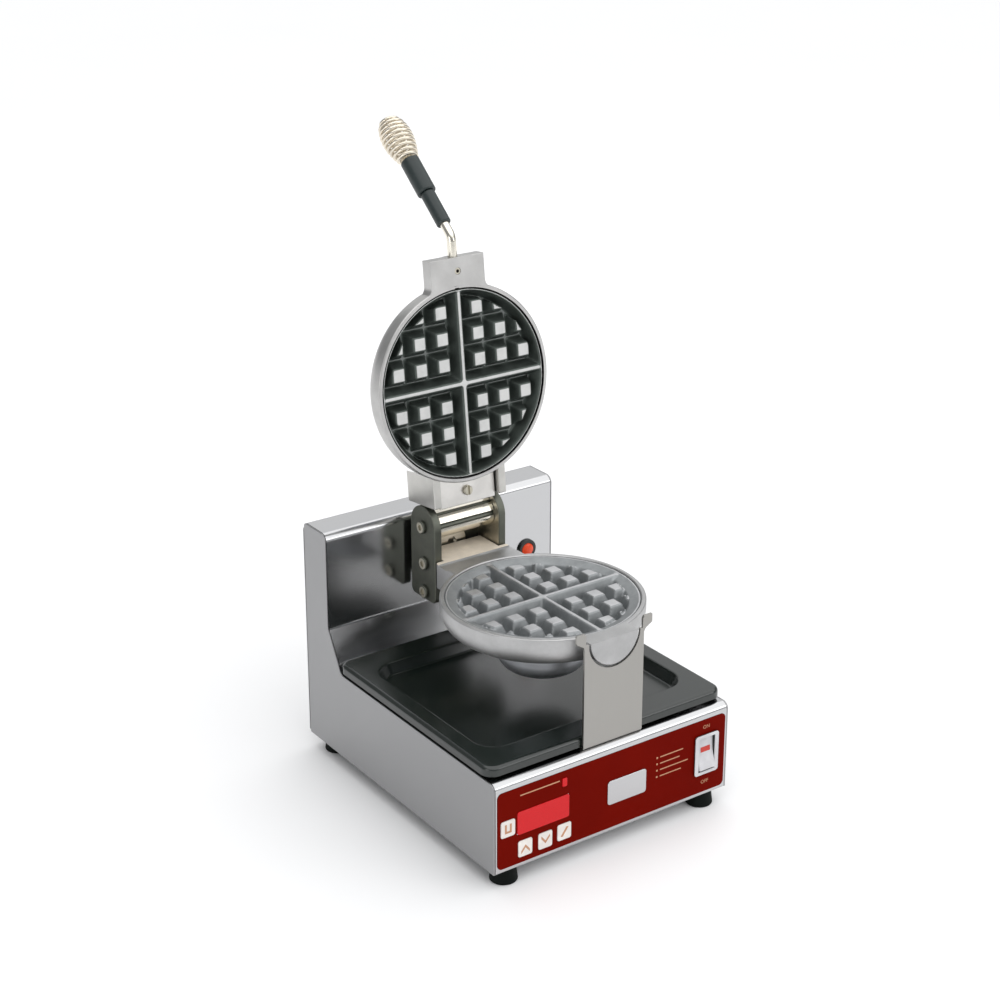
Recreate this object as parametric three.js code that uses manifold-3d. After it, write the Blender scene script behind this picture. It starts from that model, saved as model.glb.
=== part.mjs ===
// Commercial waffle maker with one round grid, its lid open, in millimetres.
// +X is to the right of someone who faces the control panel, +Y to the back and +Z up.
// The origin is on the table, under the middle of all the room that the part takes up. The pieces
// are drawn from the middle of the housing, and the whole is shifted at the end.

import * as THREE from 'three';
import { mergeVertices } from 'three/addons/utils/BufferGeometryUtils.js';
import Module from 'manifold-3d';

const wasm = await Module();
wasm.setup();

// Fits
const seam = 0.3;
const runningGap = 0.8;
const overrun = 2;

// Housing, folded from sheet
const bodyWidth = 265;
const deckHeight = 104;
const towerRise = 136;
const towerDepth = 41;
const frontMargin = 3.9;
const sheet = 1.5;
const frontBend = 7;
const towerBend = 8;
const rearBend = 4;
const innerBend = 6;
const slopeRun = 22;
const slopeRise = 39;
const bottomFlange = 16;
const rearLip = 14;
const rearSheet = 1.2;
const ventWidth = 3;
const ventHeight = 42;
const ventPitch = 9;
const ventBase = 38;
const ventCount = 12;

// Rubber feet
const footHeight = 16;
const footRadius = 13;
const footWaist = 11;
const footInset = 7;
const footFrontInset = 1;
const footScrewRadius = 2.5;
const footCounterboreDepth = 7;

// Front panel, with its red film and everything set into it
const film = 0.5;
const filmMargin = 3.5;
const filmLift = 4;
const filmDrop = 9;
const filmCorner = 5;
const proud = 0.6;
const windowWidth = 56;
const windowHeightShare = 0.3;
const windowInset = 49;
const windowShare = 0.5307;
const windowLedge = 2.5;
const windowPlug = 4;
const indicatorWidth = 5;
const indicatorHeight = 8;
const indicatorInset = 72;
const indicatorShare = 0.8533;
const keyWidth = 15;
const keyHeight = 16;
const keyCorner = 2;
const keyFlange = 1.2;
const keyTravel = 0.8;
const keyInsets = [11, 29.5, 51.2, 72];
const keyShares = [0.516, 0.1827, 0.18, 0.196];

// Rocker switch
const switchInset = 23;
const switchShare = 0.5333;
const bezelWidth = 28;
const bezelHeight = 41;
const bezelCorner = 3;
const bezelFlange = 2;
const bezelWall = 2;
const bezelDepth = 12;
const rockerWidth = 18.4;
const rockerHeight = 32.4;
const rockerPivotDepth = 4.5;
const rockerNose = 6;
const rockerDip = 4.2;
const rockerBack = 3;
const rockerTilt = THREE.MathUtils.degToRad(10);

// Pilot lamp
const pilotInset = 31.5;
const pilotRise = 64;
const pilotBezelRadius = 10.5;
const pilotBezelDepth = 2.4;
const pilotHubRadius = 8.4;
const pilotHubLength = 9;
const pilotLensRadius = 6.5;
const pilotLensDome = 2.6;

// Inside the housing
const boardWidth = 96;
const boardLift = 5;
const boardThickness = 1.6;
const boardStandOff = 6;
const postRadius = 3;
const plungerRadius = 3;
const transformerInset = 62.5;
const transformerSetback = 97.5;
const coreWidth = 56;
const coreDepth = 26;
const coreHeight = 46;
const coilWidth = 32;
const coilDepth = 44;
const coilHeight = 26;
const relayInset = 112.5;
const relaySetback = 77.5;
const relayWidth = 30;
const relayDepth = 36;
const relayHeight = 28;
const relayFlangeWidth = 46;
const tabHeight = 3;
const terminalInset = 62.5;
const terminalSetback = 17.5;
const terminalWidth = 54;
const terminalDepth = 20;
const terminalHeight = 16;
const terminalBarrier = 1.6;
const barrierCount = 5;
const inletInset = 40.5;
const inletZ = 48;
const inletFlangeRadius = 13;
const inletFlange = 4;
const inletHubRadius = 9.5;
const inletHubLength = 11;
const inletBoreRadius = 5;

// Drip tray
const trayFrontMargin = 8;
const trayRearMargin = 17.5;
const trayCorner = 12;
const trayRise = 12;
const traySheet = 1.2;
const traySkirtGap = 3.1;
const trayEdgeBend = 4;
const trayWallRun = 6;
const trayWallBend = 3;
const rimSideWidth = 18.5;
const rimFrontWidth = 28.5;
const rimRearWidth = 30;
const recessCorner = 22;

// Round grids: casings, plates, elements and cups
const rimDrop = 33.3;
const closedGap = 0.5;
const casingRadius = 94.7;
const casingBand = 8;
const casingRound = 16.1;
const casingDepth = 28.8;
const casingWall = 3.5;
const casingRim = 4.7;
const cavityLedge = 10;
const wiringHole = 30;
const plateWall = 1.3;
const plateFoot = 4.6;
const plateLip = 0.8;
const valleyDepth = 15;
const plateWeb = 3.5;
const pocketPitch = 25;
const firstPocket = 20;
const pocketBase = 22;
const pocketTop = 12.5;
const pocketTopDepth = 7;
const dividerTop = 4;
const dividerBase = 15;
const dividerDepth = 1.4;
const elementDiameter = 5.2;
const elementRingInset = 22;
const elementLegRadius = 11;
const elementLegEnd = 46;
const cupRadius = 42.7;
const cupDepth = 70;
const cupRound = 16;
const cupSheet = 1.5;
const probeRadius = 2.4;
const probeEnd = 40;
const probeCapRadius = 4;
const probeCap = 5;

// Lugs of the casings
const lowerLugRadius = 26.5;
const lowerLugLength = 12.3;
const upperLugRadius = 30;
const upperLugLength = 25.3;
const upperLugPlate = 12;
const lugFillet = 9;
const rearLugWidth = 63.4;
const lowerRearLugLength = 52.3;
const lowerRearLugThickness = 14;
const shoulderThickness = 26;
const upperRearLugLength = 24.3;
const upperRearLugThickness = 12;
const upperRearLugRecess = 10;

// Yoke and hinge
const hingeSetback = 27.5;
const hingeReach = 42.9;
const hingeRise = 29.3;
const lidOpenAngle = THREE.MathUtils.degToRad(96.2);
const earInner = 33;
const earOuter = 41;
const earRadius = 21;
const earDrop = 74;
const earCorner = 6;
const yokeWeb = 6;
const yokeWebRise = 16;
const pinRadius = 4;
const pinHeadRadius = 6.5;
const pinHead = 3;
const barrelRadius = 14;
const shaftRadius = 12;
const shaftHeadRadius = 17;
const shaftHead = 3;
const shaftReach = 24.5;
const bearingRadius = 26;
const bearingHubRadius = 18;
const bearingHub = 7;
const collarRadius = 19;
const collarLength = 9;
const boltSetback = 3;
const lugBoltDrop = 7;
const tieBoltRise = 8;
const tieTubeRadius = 7;

// Arm that carries the lid
const cheekFront = 25;
const cheekRear = 22;
const armWeb = 10;
const neckFront = 6.5;
const neckRear = 12.8;
const armWebReach = 45;

// Front cradle
const cradleWidth = 66;
const lugProud = 0.6;
const cradleSheet = 2.4;
const cradleBend = 3;
const cradleFoot = 32;
const notchGap = 2;
const prongGap = 1.4;
const prongReach = 42;
const prongLow = 3.3;
const prongHigh = 11.3;

// Handle
const rodDiameter = 9;
const rodAboveRim = 7.3;
const rodSocket = 15;
const rodStraight = 18.8;
const rodBend = 13;
const handleAngle = THREE.MathUtils.degToRad(43.8);
const narrowSleeveStart = 14.3;
const narrowSleeveEnd = 51;
const narrowSleeveRadius = 7;
const wideSleeveEnd = 90.2;
const wideSleeveRadius = 9.25;
const sleeveRound = 1.5;
const springWire = 3.4;
const springLength = 51;
const springBaseRadius = 8.6;
const springMaxRadius = 13.8;
const springTipRadius = 3.6;
const springPeakShare = 0.52;
const springCurls = 10;
const rodPilot = 7;
const setScrewRadius = 3;
const setScrewInset = 13;
const setScrewSocket = 1.4;
const lugScrewRadius = 3.5;
const lugScrewHeadRadius = 6;
const lugScrewHead = 3;
const lugScrewSlot = 1.6;

// Places that follow from these
const lowerLugReach = casingRadius + lowerLugLength;
const upperLugReach = casingRadius + upperLugLength;
const lowerRearLugReach = casingRadius + lowerRearLugLength;
const upperRearLugReach = casingRadius + upperRearLugLength;
const gridToHinge = casingRadius + hingeReach;
const bodyDepth = frontMargin + lowerLugReach + gridToHinge + hingeSetback + towerDepth;
const frontY = -bodyDepth / 2;
const rearY = bodyDepth / 2;
const towerY = rearY - towerDepth;
const towerHeight = deckHeight + towerRise;
const sideX = bodyWidth / 2;
const wrapX = sideX - sheet - seam;
const panelRearY = rearY - rearSheet - seam;
const filmY = frontY - film;
const basePlateZ = footHeight + sheet + seam;
const shelfZ = basePlateZ + sheet + seam;
const filmLeft = filmMargin - sideX;
const filmBase = footHeight + filmLift;
const filmTop = deckHeight - filmDrop;
const filmHeight = filmTop - filmBase;
const windowX = filmLeft + windowInset;
const windowZ = filmBase + windowShare * filmHeight;
const windowHeight = windowHeightShare * filmHeight;
const indicatorX = filmLeft + indicatorInset;
const indicatorZ = filmBase + indicatorShare * filmHeight;
const keyPlaces = keyInsets.map((inset, i) => [filmLeft + inset, filmBase + keyShares[i] * filmHeight]);
const switchX = -filmLeft - switchInset;
const switchZ = filmBase + switchShare * filmHeight;
const pilotX = sideX - pilotInset;
const pilotZ = deckHeight + pilotRise;
const transformerX = transformerInset - sideX;
const transformerY = towerY - transformerSetback;
const relayX = sideX - relayInset;
const relayY = towerY - relaySetback;
const terminalX = sideX - terminalInset;
const terminalY = towerY - terminalSetback;
const inletX = sideX - inletInset;
const trayFront = frontY + trayFrontMargin;
const trayRear = towerY - trayRearMargin;
const trayRim = deckHeight + trayRise;
const traySkirtBase = deckHeight + traySkirtGap;
const recessHalf = sideX - rimSideWidth;
const recessFront = trayFront + rimFrontWidth;
const recessRear = trayRear - rimRearWidth;
const casingFloorRadius = casingRadius - casingRound;
const casingBore = casingRadius - casingRim;
const cavityRadius = casingBore - cavityLedge;
const elementRingRadius = cavityRadius - elementRingInset;
const hingeY = towerY - hingeSetback;
const gridY = hingeY - gridToHinge;
const rimHeight = towerHeight - rimDrop;
const upperRimZ = rimHeight + closedGap;
const lugEndY = gridY - upperLugReach;
const hingeZ = rimHeight + hingeRise;
const earBase = hingeZ - earDrop;
const boltY = hingeY - boltSetback;
const lugBoltZ = rimHeight - lugBoltDrop;
const tieBoltZ = earBase + tieBoltRise;
const armWebFront = hingeY - armWebReach;
const cradleFront = gridY - lowerLugReach + lugProud;
const notchRadius = lowerLugRadius + notchGap;
const prongClear = upperLugRadius + prongGap;

// Drawing helpers. Every outline is a list of points, every piece ends as one closed solid.

const point = (x, y) => new THREE.Vector2(x, y);

function arc(centreX, centreY, radius, from, to, steps) {
  const points = [];
  for (let i = 0; i <= steps; i++) {
    const angle = from + ((to - from) * i) / steps;
    points.push(point(centreX + radius * Math.cos(angle), centreY + radius * Math.sin(angle)));
  }
  return points;
}

function circle(radius, centreX = 0, centreY = 0, sides = 20) {
  return arc(centreX, centreY, radius, 0, 2 * Math.PI, sides).slice(0, -1);
}

function roundedBox(left, right, low, high, radius, steps = 3) {
  const quarter = Math.PI / 2;
  return [
    ...arc(right - radius, low + radius, radius, -quarter, 0, steps),
    ...arc(right - radius, high - radius, radius, 0, quarter, steps),
    ...arc(left + radius, high - radius, radius, quarter, 2 * quarter, steps),
    ...arc(left + radius, low + radius, radius, 2 * quarter, 3 * quarter, steps),
  ];
}

const centredBox = (x, y, width, height, radius, steps) =>
  roundedBox(x - width / 2, x + width / 2, y - height / 2, y + height / 2, radius, steps);

const squareBox = (x, y, width, height) =>
  [[-1, -1], [1, -1], [1, 1], [-1, 1]].map(([u, v]) => point(x + (u * width) / 2, y + (v * height) / 2));

// Both faces of a sheet that runs along a line of corners, each corner bent to its radius.
// The back lies to the left of the running direction, one sheet away.
function sheetSides(corners, bends, thickness, steps = 4) {
  const face = [];
  const back = [];
  const add = (place, direction) => {
    face.push(place.clone());
    back.push(place.clone().add(point(-direction.y, direction.x).multiplyScalar(thickness)));
  };
  const heading = (i) => corners[i + 1].clone().sub(corners[i]).normalize();
  add(corners[0], heading(0));
  for (let i = 1; i < corners.length - 1; i++) {
    const before = heading(i - 1);
    const after = heading(i);
    const turn = Math.atan2(before.cross(after), before.dot(after));
    const radius = bends[i - 1];
    const start = corners[i].clone().addScaledVector(before, -radius * Math.tan(Math.abs(turn) / 2));
    const side = point(-before.y, before.x).multiplyScalar(Math.sign(turn));
    const centre = start.clone().addScaledVector(side, radius);
    for (let k = 0; k <= steps; k++) {
      const angle = (turn * k) / steps;
      add(start.clone().rotateAround(centre, angle), before.clone().rotateAround(point(0, 0), angle));
    }
  }
  add(corners[corners.length - 1], heading(corners.length - 2));
  return { face, back };
}

function sheetOutline(corners, bends, thickness, steps) {
  const { face, back } = sheetSides(corners, bends, thickness, steps);
  return [...face, ...back.reverse()];
}

// A closed, outward solid from any closed geometry
function solid(geometry) {
  const bare = new THREE.BufferGeometry();
  bare.setAttribute('position', geometry.getAttribute('position'));
  bare.setIndex(geometry.getIndex());
  const merged = mergeVertices(bare);
  const spots = merged.getAttribute('position');
  const index = merged.getIndex().array;
  const corner = (i) => new THREE.Vector3().fromBufferAttribute(spots, index[i]);
  const triangles = [];
  let volume = 0;
  for (let i = 0; i < index.length; i += 3) {
    if (index[i] === index[i + 1] || index[i] === index[i + 2] || index[i + 1] === index[i + 2]) continue;
    triangles.push([index[i], index[i + 1], index[i + 2]]);
    volume += corner(i).dot(corner(i + 1).cross(corner(i + 2)));
  }
  if (volume < 0) triangles.forEach((triangle) => triangle.reverse());
  const vertProperties = new Float32Array(spots.array);
  const triVerts = new Uint32Array(triangles.flat());
  return new wasm.Manifold(new wasm.Mesh({ numProp: 3, vertProperties, triVerts }));
}

const join = (first, ...others) => others.reduce((sum, other) => sum.add(other), first);
const cut = (first, ...others) => others.reduce((rest, other) => rest.subtract(other), first);

const axisX = new THREE.Vector3(1, 0, 0);
const axisY = new THREE.Vector3(0, 1, 0);
const axisZ = new THREE.Vector3(0, 0, 1);
const drawnOn = {
  side: new THREE.Matrix4().makeBasis(axisY, axisZ, axisX),
  plan: new THREE.Matrix4(),
  front: new THREE.Matrix4().makeBasis(axisX, axisZ, axisY.clone().negate()),
};

// An outline drawn on the side (y, z), plan (x, y) or front (x, z) and carried from low to high
// along the third axis
function slab(view, outline, low, high, holes = []) {
  const shape = new THREE.Shape(outline);
  holes.forEach((hole) => shape.holes.push(new THREE.Path(hole)));
  const body = new THREE.ExtrudeGeometry(shape, { depth: high - low, bevelEnabled: false });
  body.translate(0, 0, view === 'front' ? -high : low);
  return solid(body.applyMatrix4(drawnOn[view]));
}

function block(left, right, front, rear, low, high) {
  const outline = [point(left, front), point(right, front), point(right, rear), point(left, rear)];
  return slab('plan', outline, low, high);
}

// A turned piece: the profile holds (radius, place along the axis)
function turned(profile, axis, centre, sides = 20) {
  const body = new THREE.LatheGeometry([...profile, profile[0]], sides);
  if (axis === 'z') body.rotateX(Math.PI / 2);
  if (axis === 'x') body.rotateZ(-Math.PI / 2);
  return solid(body.translate(centre.x, centre.y, centre.z));
}

const spot = (x, y, z) => new THREE.Vector3(x, y, z);

function rod(radius, axis, centre, from, to, sides = 16) {
  const profile = [point(0, from), point(radius, from), point(radius, to), point(0, to)];
  return turned(profile, axis, centre, sides);
}

function tube(radius, axis, centre, from, to, bore, sides) {
  const profile = [point(bore, from), point(radius, from), point(radius, to), point(bore, to)];
  return turned(profile, axis, centre, sides);
}

// Rings of points, all with the same count, skinned into one solid with flat ends
function loft(rings) {
  const count = rings[0].length;
  const places = rings.flat().flatMap((p) => [p.x, p.y, p.z]);
  const index = [];
  for (let r = 0; r + 1 < rings.length; r++) {
    for (let i = 0; i < count; i++) {
      const a = r * count + i;
      const b = r * count + ((i + 1) % count);
      index.push(a, b, a + count, b, b + count, a + count);
    }
  }
  const cap = (first, flip) => {
    for (let i = 1; i + 1 < count; i++) {
      index.push(...(flip ? [first, first + i + 1, first + i] : [first, first + i, first + i + 1]));
    }
  };
  cap(0, true);
  cap((rings.length - 1) * count, false);
  const body = new THREE.BufferGeometry();
  body.setAttribute('position', new THREE.Float32BufferAttribute(places, 3));
  body.setIndex(index);
  return solid(body);
}

// Finishes
const finish = (color, roughness, metalness) => ({ color, roughness, metalness });
const brushed = finish(0xb9b9bc, 0.38, 0.9);
const sheetSteel = finish(0x9b9b9b, 0.5, 0.85);
const castBright = finish(0xbdbcb9, 0.45, 0.85);
const castDark = finish(0x6f7773, 0.6, 0.5);
const yokeGrey = finish(0x5c6058, 0.55, 0.7);
const polished = finish(0xd8d4c8, 0.2, 1);
const blackSteel = finish(0x252c29, 0.35, 0.6);
const blackPlastic = finish(0x222625, 0.5, 0);
const sleevePlastic = finish(0x2e3837, 0.45, 0);
const rubber = finish(0x1b1c1c, 0.8, 0);
const redFilm = finish(0x7a1206, 0.45, 0);
const redWindow = finish(0xd8232a, 0.25, 0);
const keyWhite = finish(0xe9e2dc, 0.5, 0);
const switchGrey = finish(0xd9d9db, 0.4, 0);
const lampRed = finish(0xdc4628, 0.25, 0);
const springNickel = finish(0xc8bea5, 0.3, 1);
const boardGreen = finish(0x2f6b3d, 0.6, 0);
const coreSteel = finish(0x4a4642, 0.6, 0.7);
const ceramic = finish(0xe7e0cf, 0.7, 0);

const waffleMaker = new THREE.Group();

function piece(name, body, look, parent = waffleMaker) {
  const { vertProperties, triVerts } = body.getMesh();
  const geometry = new THREE.BufferGeometry();
  geometry.setAttribute('position', new THREE.Float32BufferAttribute(vertProperties, 3));
  geometry.setIndex(new THREE.Uint32BufferAttribute(triVerts, 1));
  geometry.computeVertexNormals();
  const mesh = new THREE.Mesh(geometry, new THREE.MeshStandardMaterial(look));
  mesh.name = name;
  parent.add(mesh);
  return mesh;
}

// Outer corners of the housing seen from the side, from the foot of the front panel
// over deck, slope, tower face and tower top
const housingCorners = [
  point(frontY, footHeight),
  point(frontY, deckHeight),
  point(towerY - slopeRun, deckHeight),
  point(towerY, deckHeight + slopeRise),
  point(towerY, towerHeight),
];
const housingBends = [frontBend, innerBend, innerBend, towerBend];

function chassisWrap() {
  const corners = [
    point(frontY + bottomFlange, footHeight),
    ...housingCorners,
    point(panelRearY, towerHeight),
    point(panelRearY, towerHeight - rearLip),
  ];
  // the sheet lies below and behind the line, which is its right-hand side
  const bends = [sheet, ...housingBends, rearBend];
  const outline = sheetOutline(corners, bends, -sheet);
  const wrap = slab('side', outline, -wrapX, wrapX);
  const front = (hole) => slab('front', hole, frontY - overrun, frontY + sheet + overrun);
  const cuts = [
    front(squareBox(windowX, windowZ, windowWidth - 2 * windowLedge, windowHeight - 2 * windowLedge)),
    front(squareBox(indicatorX, indicatorZ, indicatorWidth + 2 * seam, indicatorHeight + 2 * seam)),
    front(squareBox(switchX, switchZ, ...bezelBodySize(seam))),
    ...keyPlaces.map(([x, z]) =>
      front(centredBox(x, z, keyWidth + 2 * seam, keyHeight + 2 * seam, keyCorner + seam))),
    ...footPlaces().slice(0, 2).map(([x, y]) =>
      rod(footScrewRadius, 'z', spot(x, y, footHeight), -overrun, sheet + seam, 12)),
    rod(pilotHubRadius + seam, 'y', spot(pilotX, towerY, pilotZ), -overrun, sheet + overrun),
    rod(bearingHubRadius + seam, 'y', spot(0, towerY, rimHeight), -overrun, sheet + overrun, 32),
  ];
  return cut(wrap, ...cuts);
}

function sidePanel(inner, outer) {
  const upper = sheetSides([...housingCorners, point(panelRearY, towerHeight)], housingBends, sheet).face;
  const outline = [...upper.slice(0, -1), ...arc(panelRearY - rearBend, towerHeight - rearBend, rearBend,
    Math.PI / 2, 0, 4), point(panelRearY, footHeight)];
  return slab('side', outline, Math.min(inner, outer), Math.max(inner, outer));
}

function rearPanel() {
  const outline = roundedBox(-sideX, sideX, footHeight, towerHeight - rearBend - seam, rearBend);
  const vents = [];
  for (let i = 0; i < ventCount; i++) {
    const x = -(i + 1) * ventPitch + ventPitch / 2;
    vents.push(roundedBox(x - ventWidth / 2, x + ventWidth / 2, ventBase, ventBase + ventHeight,
      ventWidth / 2 - seam, 1));
  }
  const inlet = circle(inletHubRadius + seam, inletX, inletZ);
  return slab('front', outline, rearY - rearSheet, rearY, [...vents, inlet]);
}

function basePlate() {
  const inset = sheet + seam;
  const outline = centredBox(0, (frontY + inset + panelRearY - seam) / 2, bodyWidth - 2 * inset,
    panelRearY - seam - frontY - inset, frontBend);
  const holes = footPlaces().map(([x, y]) => circle(footScrewRadius, x, y, 12));
  return slab('plan', outline, basePlateZ, basePlateZ + sheet, holes);
}

function footPlaces() {
  const x = sideX - footInset - footRadius;
  const front = frontY + footFrontInset + footRadius;
  const rear = rearY - footInset - footRadius;
  const underFlange = footHeight - seam;
  const underPlate = basePlateZ - seam;
  return [[-x, front, underFlange], [x, front, underFlange], [-x, rear, underPlate], [x, rear, underPlate]];
}

// Rubber foot: flat tread, slightly waisted, with a counterbore for its screw from above
function foot(x, y, top) {
  const profile = [
    point(0, 0),
    point(footRadius - sheet, 0),
    point(footRadius, sheet),
    point(footWaist, top),
    point(footScrewRadius, top),
    point(footScrewRadius, footCounterboreDepth),
    point(0, footCounterboreDepth),
  ];
  return turned(profile, 'z', spot(x, y, 0));
}

// The film has a cut-out for each thing that is set into the panel
function controlFilm() {
  const outline = roundedBox(filmLeft, -filmLeft, filmBase, filmTop, filmCorner);
  const holes = [
    centredBox(windowX, windowZ, windowWidth + 2 * seam, windowHeight + 2 * seam, keyCorner),
    squareBox(indicatorX, indicatorZ, indicatorWidth + 2 * seam, indicatorHeight + 2 * seam),
    squareBox(switchX, switchZ, ...bezelBodySize(seam)),
    ...keyPlaces.map(([x, z]) =>
      centredBox(x, z, keyWidth + 2 * seam, keyHeight + 2 * seam, keyCorner + seam)),
  ];
  return slab('front', outline, filmY, frontY - seam / 3, holes);
}

function bezelBodySize(clearance) {
  const wall = 2 * (bezelWall + clearance);
  return [rockerWidth + 2 * seam + wall, rockerHeight + 2 * (runningGap + seam) + wall];
}

function displayWindow() {
  const plate = slab('front', centredBox(windowX, windowZ, windowWidth, windowHeight, keyCorner),
    filmY - proud, frontY - seam);
  const plugInset = 2 * (windowLedge + seam);
  const plug = slab('front', squareBox(windowX, windowZ, windowWidth - plugInset, windowHeight - plugInset),
    frontY - proud, frontY - proud + windowPlug);
  return join(plate, plug);
}

function indicatorLens() {
  return slab('front', squareBox(indicatorX, indicatorZ, indicatorWidth, indicatorHeight),
    filmY - proud, frontY + windowPlug);
}

// Key cap with a flange that holds it behind the panel
function key(x, z) {
  const back = frontY + sheet + seam;
  const face = centredBox(x, z, keyWidth, keyHeight, keyCorner);
  const cap = slab('front', face, filmY - proud, back + keyFlange);
  const flange = slab('front', centredBox(x, z, keyWidth + 2 * sheet, keyHeight + 2 * sheet, keyCorner),
    back, back + keyFlange);
  return join(cap, flange);
}

function switchBezel() {
  const frame = slab('front', centredBox(switchX, switchZ, bezelWidth, bezelHeight, bezelCorner),
    filmY - seam - bezelFlange, filmY - seam);
  const body = slab('front', squareBox(switchX, switchZ, ...bezelBodySize(0)),
    filmY - seam - sheet, filmY + bezelDepth);
  const opening = slab('front', squareBox(switchX, switchZ, rockerWidth + 2 * seam,
    rockerHeight + 2 * (runningGap + seam)), filmY - bezelFlange - overrun, filmY + bezelDepth + overrun);
  return cut(join(frame, body), opening);
}

// Rocker drawn upright about its pivot: two shallow faces that meet in a dip, round at the back
function rockerBody() {
  const half = rockerHeight / 2;
  const outline = [
    point(-rockerNose, half),
    point(-rockerDip, 0),
    point(-rockerNose, -half),
    point(0, -half),
    ...arc(0, 0, rockerBack, -Math.PI / 4, Math.PI / 4, 4),
    point(0, half),
  ];
  return slab('side', outline, -rockerWidth / 2, rockerWidth / 2);
}

function pilotBezel() {
  const bore = pilotLensRadius + seam;
  const front = -pilotBezelDepth - seam;
  const profile = [
    point(bore, front),
    point(pilotBezelRadius - sheet, front),
    point(pilotBezelRadius, front + sheet),
    point(pilotBezelRadius, -seam),
    point(pilotHubRadius, -seam),
    point(pilotHubRadius, pilotHubLength),
    point(bore, pilotHubLength),
  ];
  return turned(profile, 'y', spot(pilotX, towerY, pilotZ));
}

function pilotLens() {
  const rim = -pilotBezelDepth - seam;
  const dome = [];
  for (let i = 0; i <= 4; i++) {
    const angle = (Math.PI / 2) * (i / 4);
    dome.push(point(pilotLensRadius * Math.sin(angle), rim - pilotLensDome * Math.cos(angle)));
  }
  dome[0].x = 0;
  const profile = [...dome, point(pilotLensRadius, pilotHubLength), point(0, pilotHubLength)];
  return turned(profile, 'y', spot(pilotX, towerY, pilotZ));
}

// Circuit board behind the display, on posts that reach the front panel,
// with the display block and a small switch behind each key
function controlBoard() {
  const left = windowX - boardWidth / 2;
  const right = windowX + boardWidth / 2 - 2 * keyFlange;
  const low = filmBase + boardLift;
  const high = filmTop;
  const face = frontY + sheet + seam;
  const boardY = face + boardStandOff;
  const board = slab('front', roundedBox(left, right, low, high, keyCorner), boardY, boardY + boardThickness);
  const posts = [[left, high], [right, high], [right, low]].map(([x, z]) => {
    const inX = x + Math.sign(windowX - x) * postRadius * 2;
    const inZ = z + Math.sign(windowZ - z) * postRadius * 2;
    return rod(postRadius, 'y', spot(inX, 0, inZ), face, boardY + boardThickness / 2, 12);
  });
  const display = slab('front', squareBox(windowX, windowZ, windowWidth - 4 * windowLedge,
    windowHeight - 4 * windowLedge), frontY + windowPlug, boardY + boardThickness / 2);
  const pressed = face + keyFlange + keyTravel + seam;
  const plungers = keyPlaces.map(([x, z]) => {
    const place = spot(Math.max(x, left + plungerRadius), 0, z);
    return rod(plungerRadius, 'y', place, pressed, boardY + boardThickness / 2, 12);
  });
  return join(board, ...posts, display, ...plungers);
}

function transformer() {
  const core = block(transformerX - coreWidth / 2, transformerX + coreWidth / 2, transformerY - coreDepth / 2,
    transformerY + coreDepth / 2, shelfZ, shelfZ + coreHeight);
  const middle = shelfZ + coreHeight / 2;
  const coil = slab('front', centredBox(transformerX, middle, coilWidth, coilHeight, frontBend),
    transformerY - coilDepth / 2, transformerY + coilDepth / 2);
  const feet = block(transformerX - coreWidth / 2 - frontBend, transformerX + coreWidth / 2 + frontBend,
    transformerY - coreDepth / 2, transformerY + coreDepth / 2, shelfZ, shelfZ + sheet);
  return join(core, coil, feet);
}

function relay() {
  const top = shelfZ + relayHeight;
  const can = slab('plan', centredBox(relayX, relayY, relayWidth, relayDepth, keyCorner), shelfZ, top);
  const flange = slab('plan', centredBox(relayX, relayY, relayFlangeWidth, relayDepth / 2, keyCorner),
    shelfZ, shelfZ + sheet);
  const tabs = [-1, 1].map((side) => {
    const x = relayX + (side * relayWidth) / 4;
    const reach = relayDepth / 4;
    return block(x - sheet, x + sheet, relayY - reach, relayY + reach, top - sheet, top + tabHeight);
  });
  return join(can, flange, ...tabs);
}

function terminalBlock() {
  const left = terminalX - terminalWidth / 2;
  const right = terminalX + terminalWidth / 2;
  const front = terminalY - terminalDepth / 2;
  const rear = terminalY + terminalDepth / 2;
  const low = block(left, right, front, rear, shelfZ, shelfZ + terminalHeight / 2);
  const walls = [];
  for (let i = 0; i < barrierCount; i++) {
    const x = left + ((right - left - terminalBarrier) * i) / (barrierCount - 1);
    walls.push(block(x, x + terminalBarrier, front, rear, shelfZ, shelfZ + terminalHeight));
  }
  return join(low, ...walls);
}

// Gland for the supply cord in the rear panel, bored right through
function cordInlet() {
  const profile = [
    point(inletBoreRadius, -inletHubLength),
    point(inletHubRadius, -inletHubLength),
    point(inletHubRadius, seam),
    point(inletFlangeRadius, seam),
    point(inletFlangeRadius, inletFlange / 2),
    point(inletHubRadius, inletFlange),
    point(inletBoreRadius, inletFlange),
  ];
  return turned(profile, 'y', spot(inletX, rearY, inletZ));
}

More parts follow.
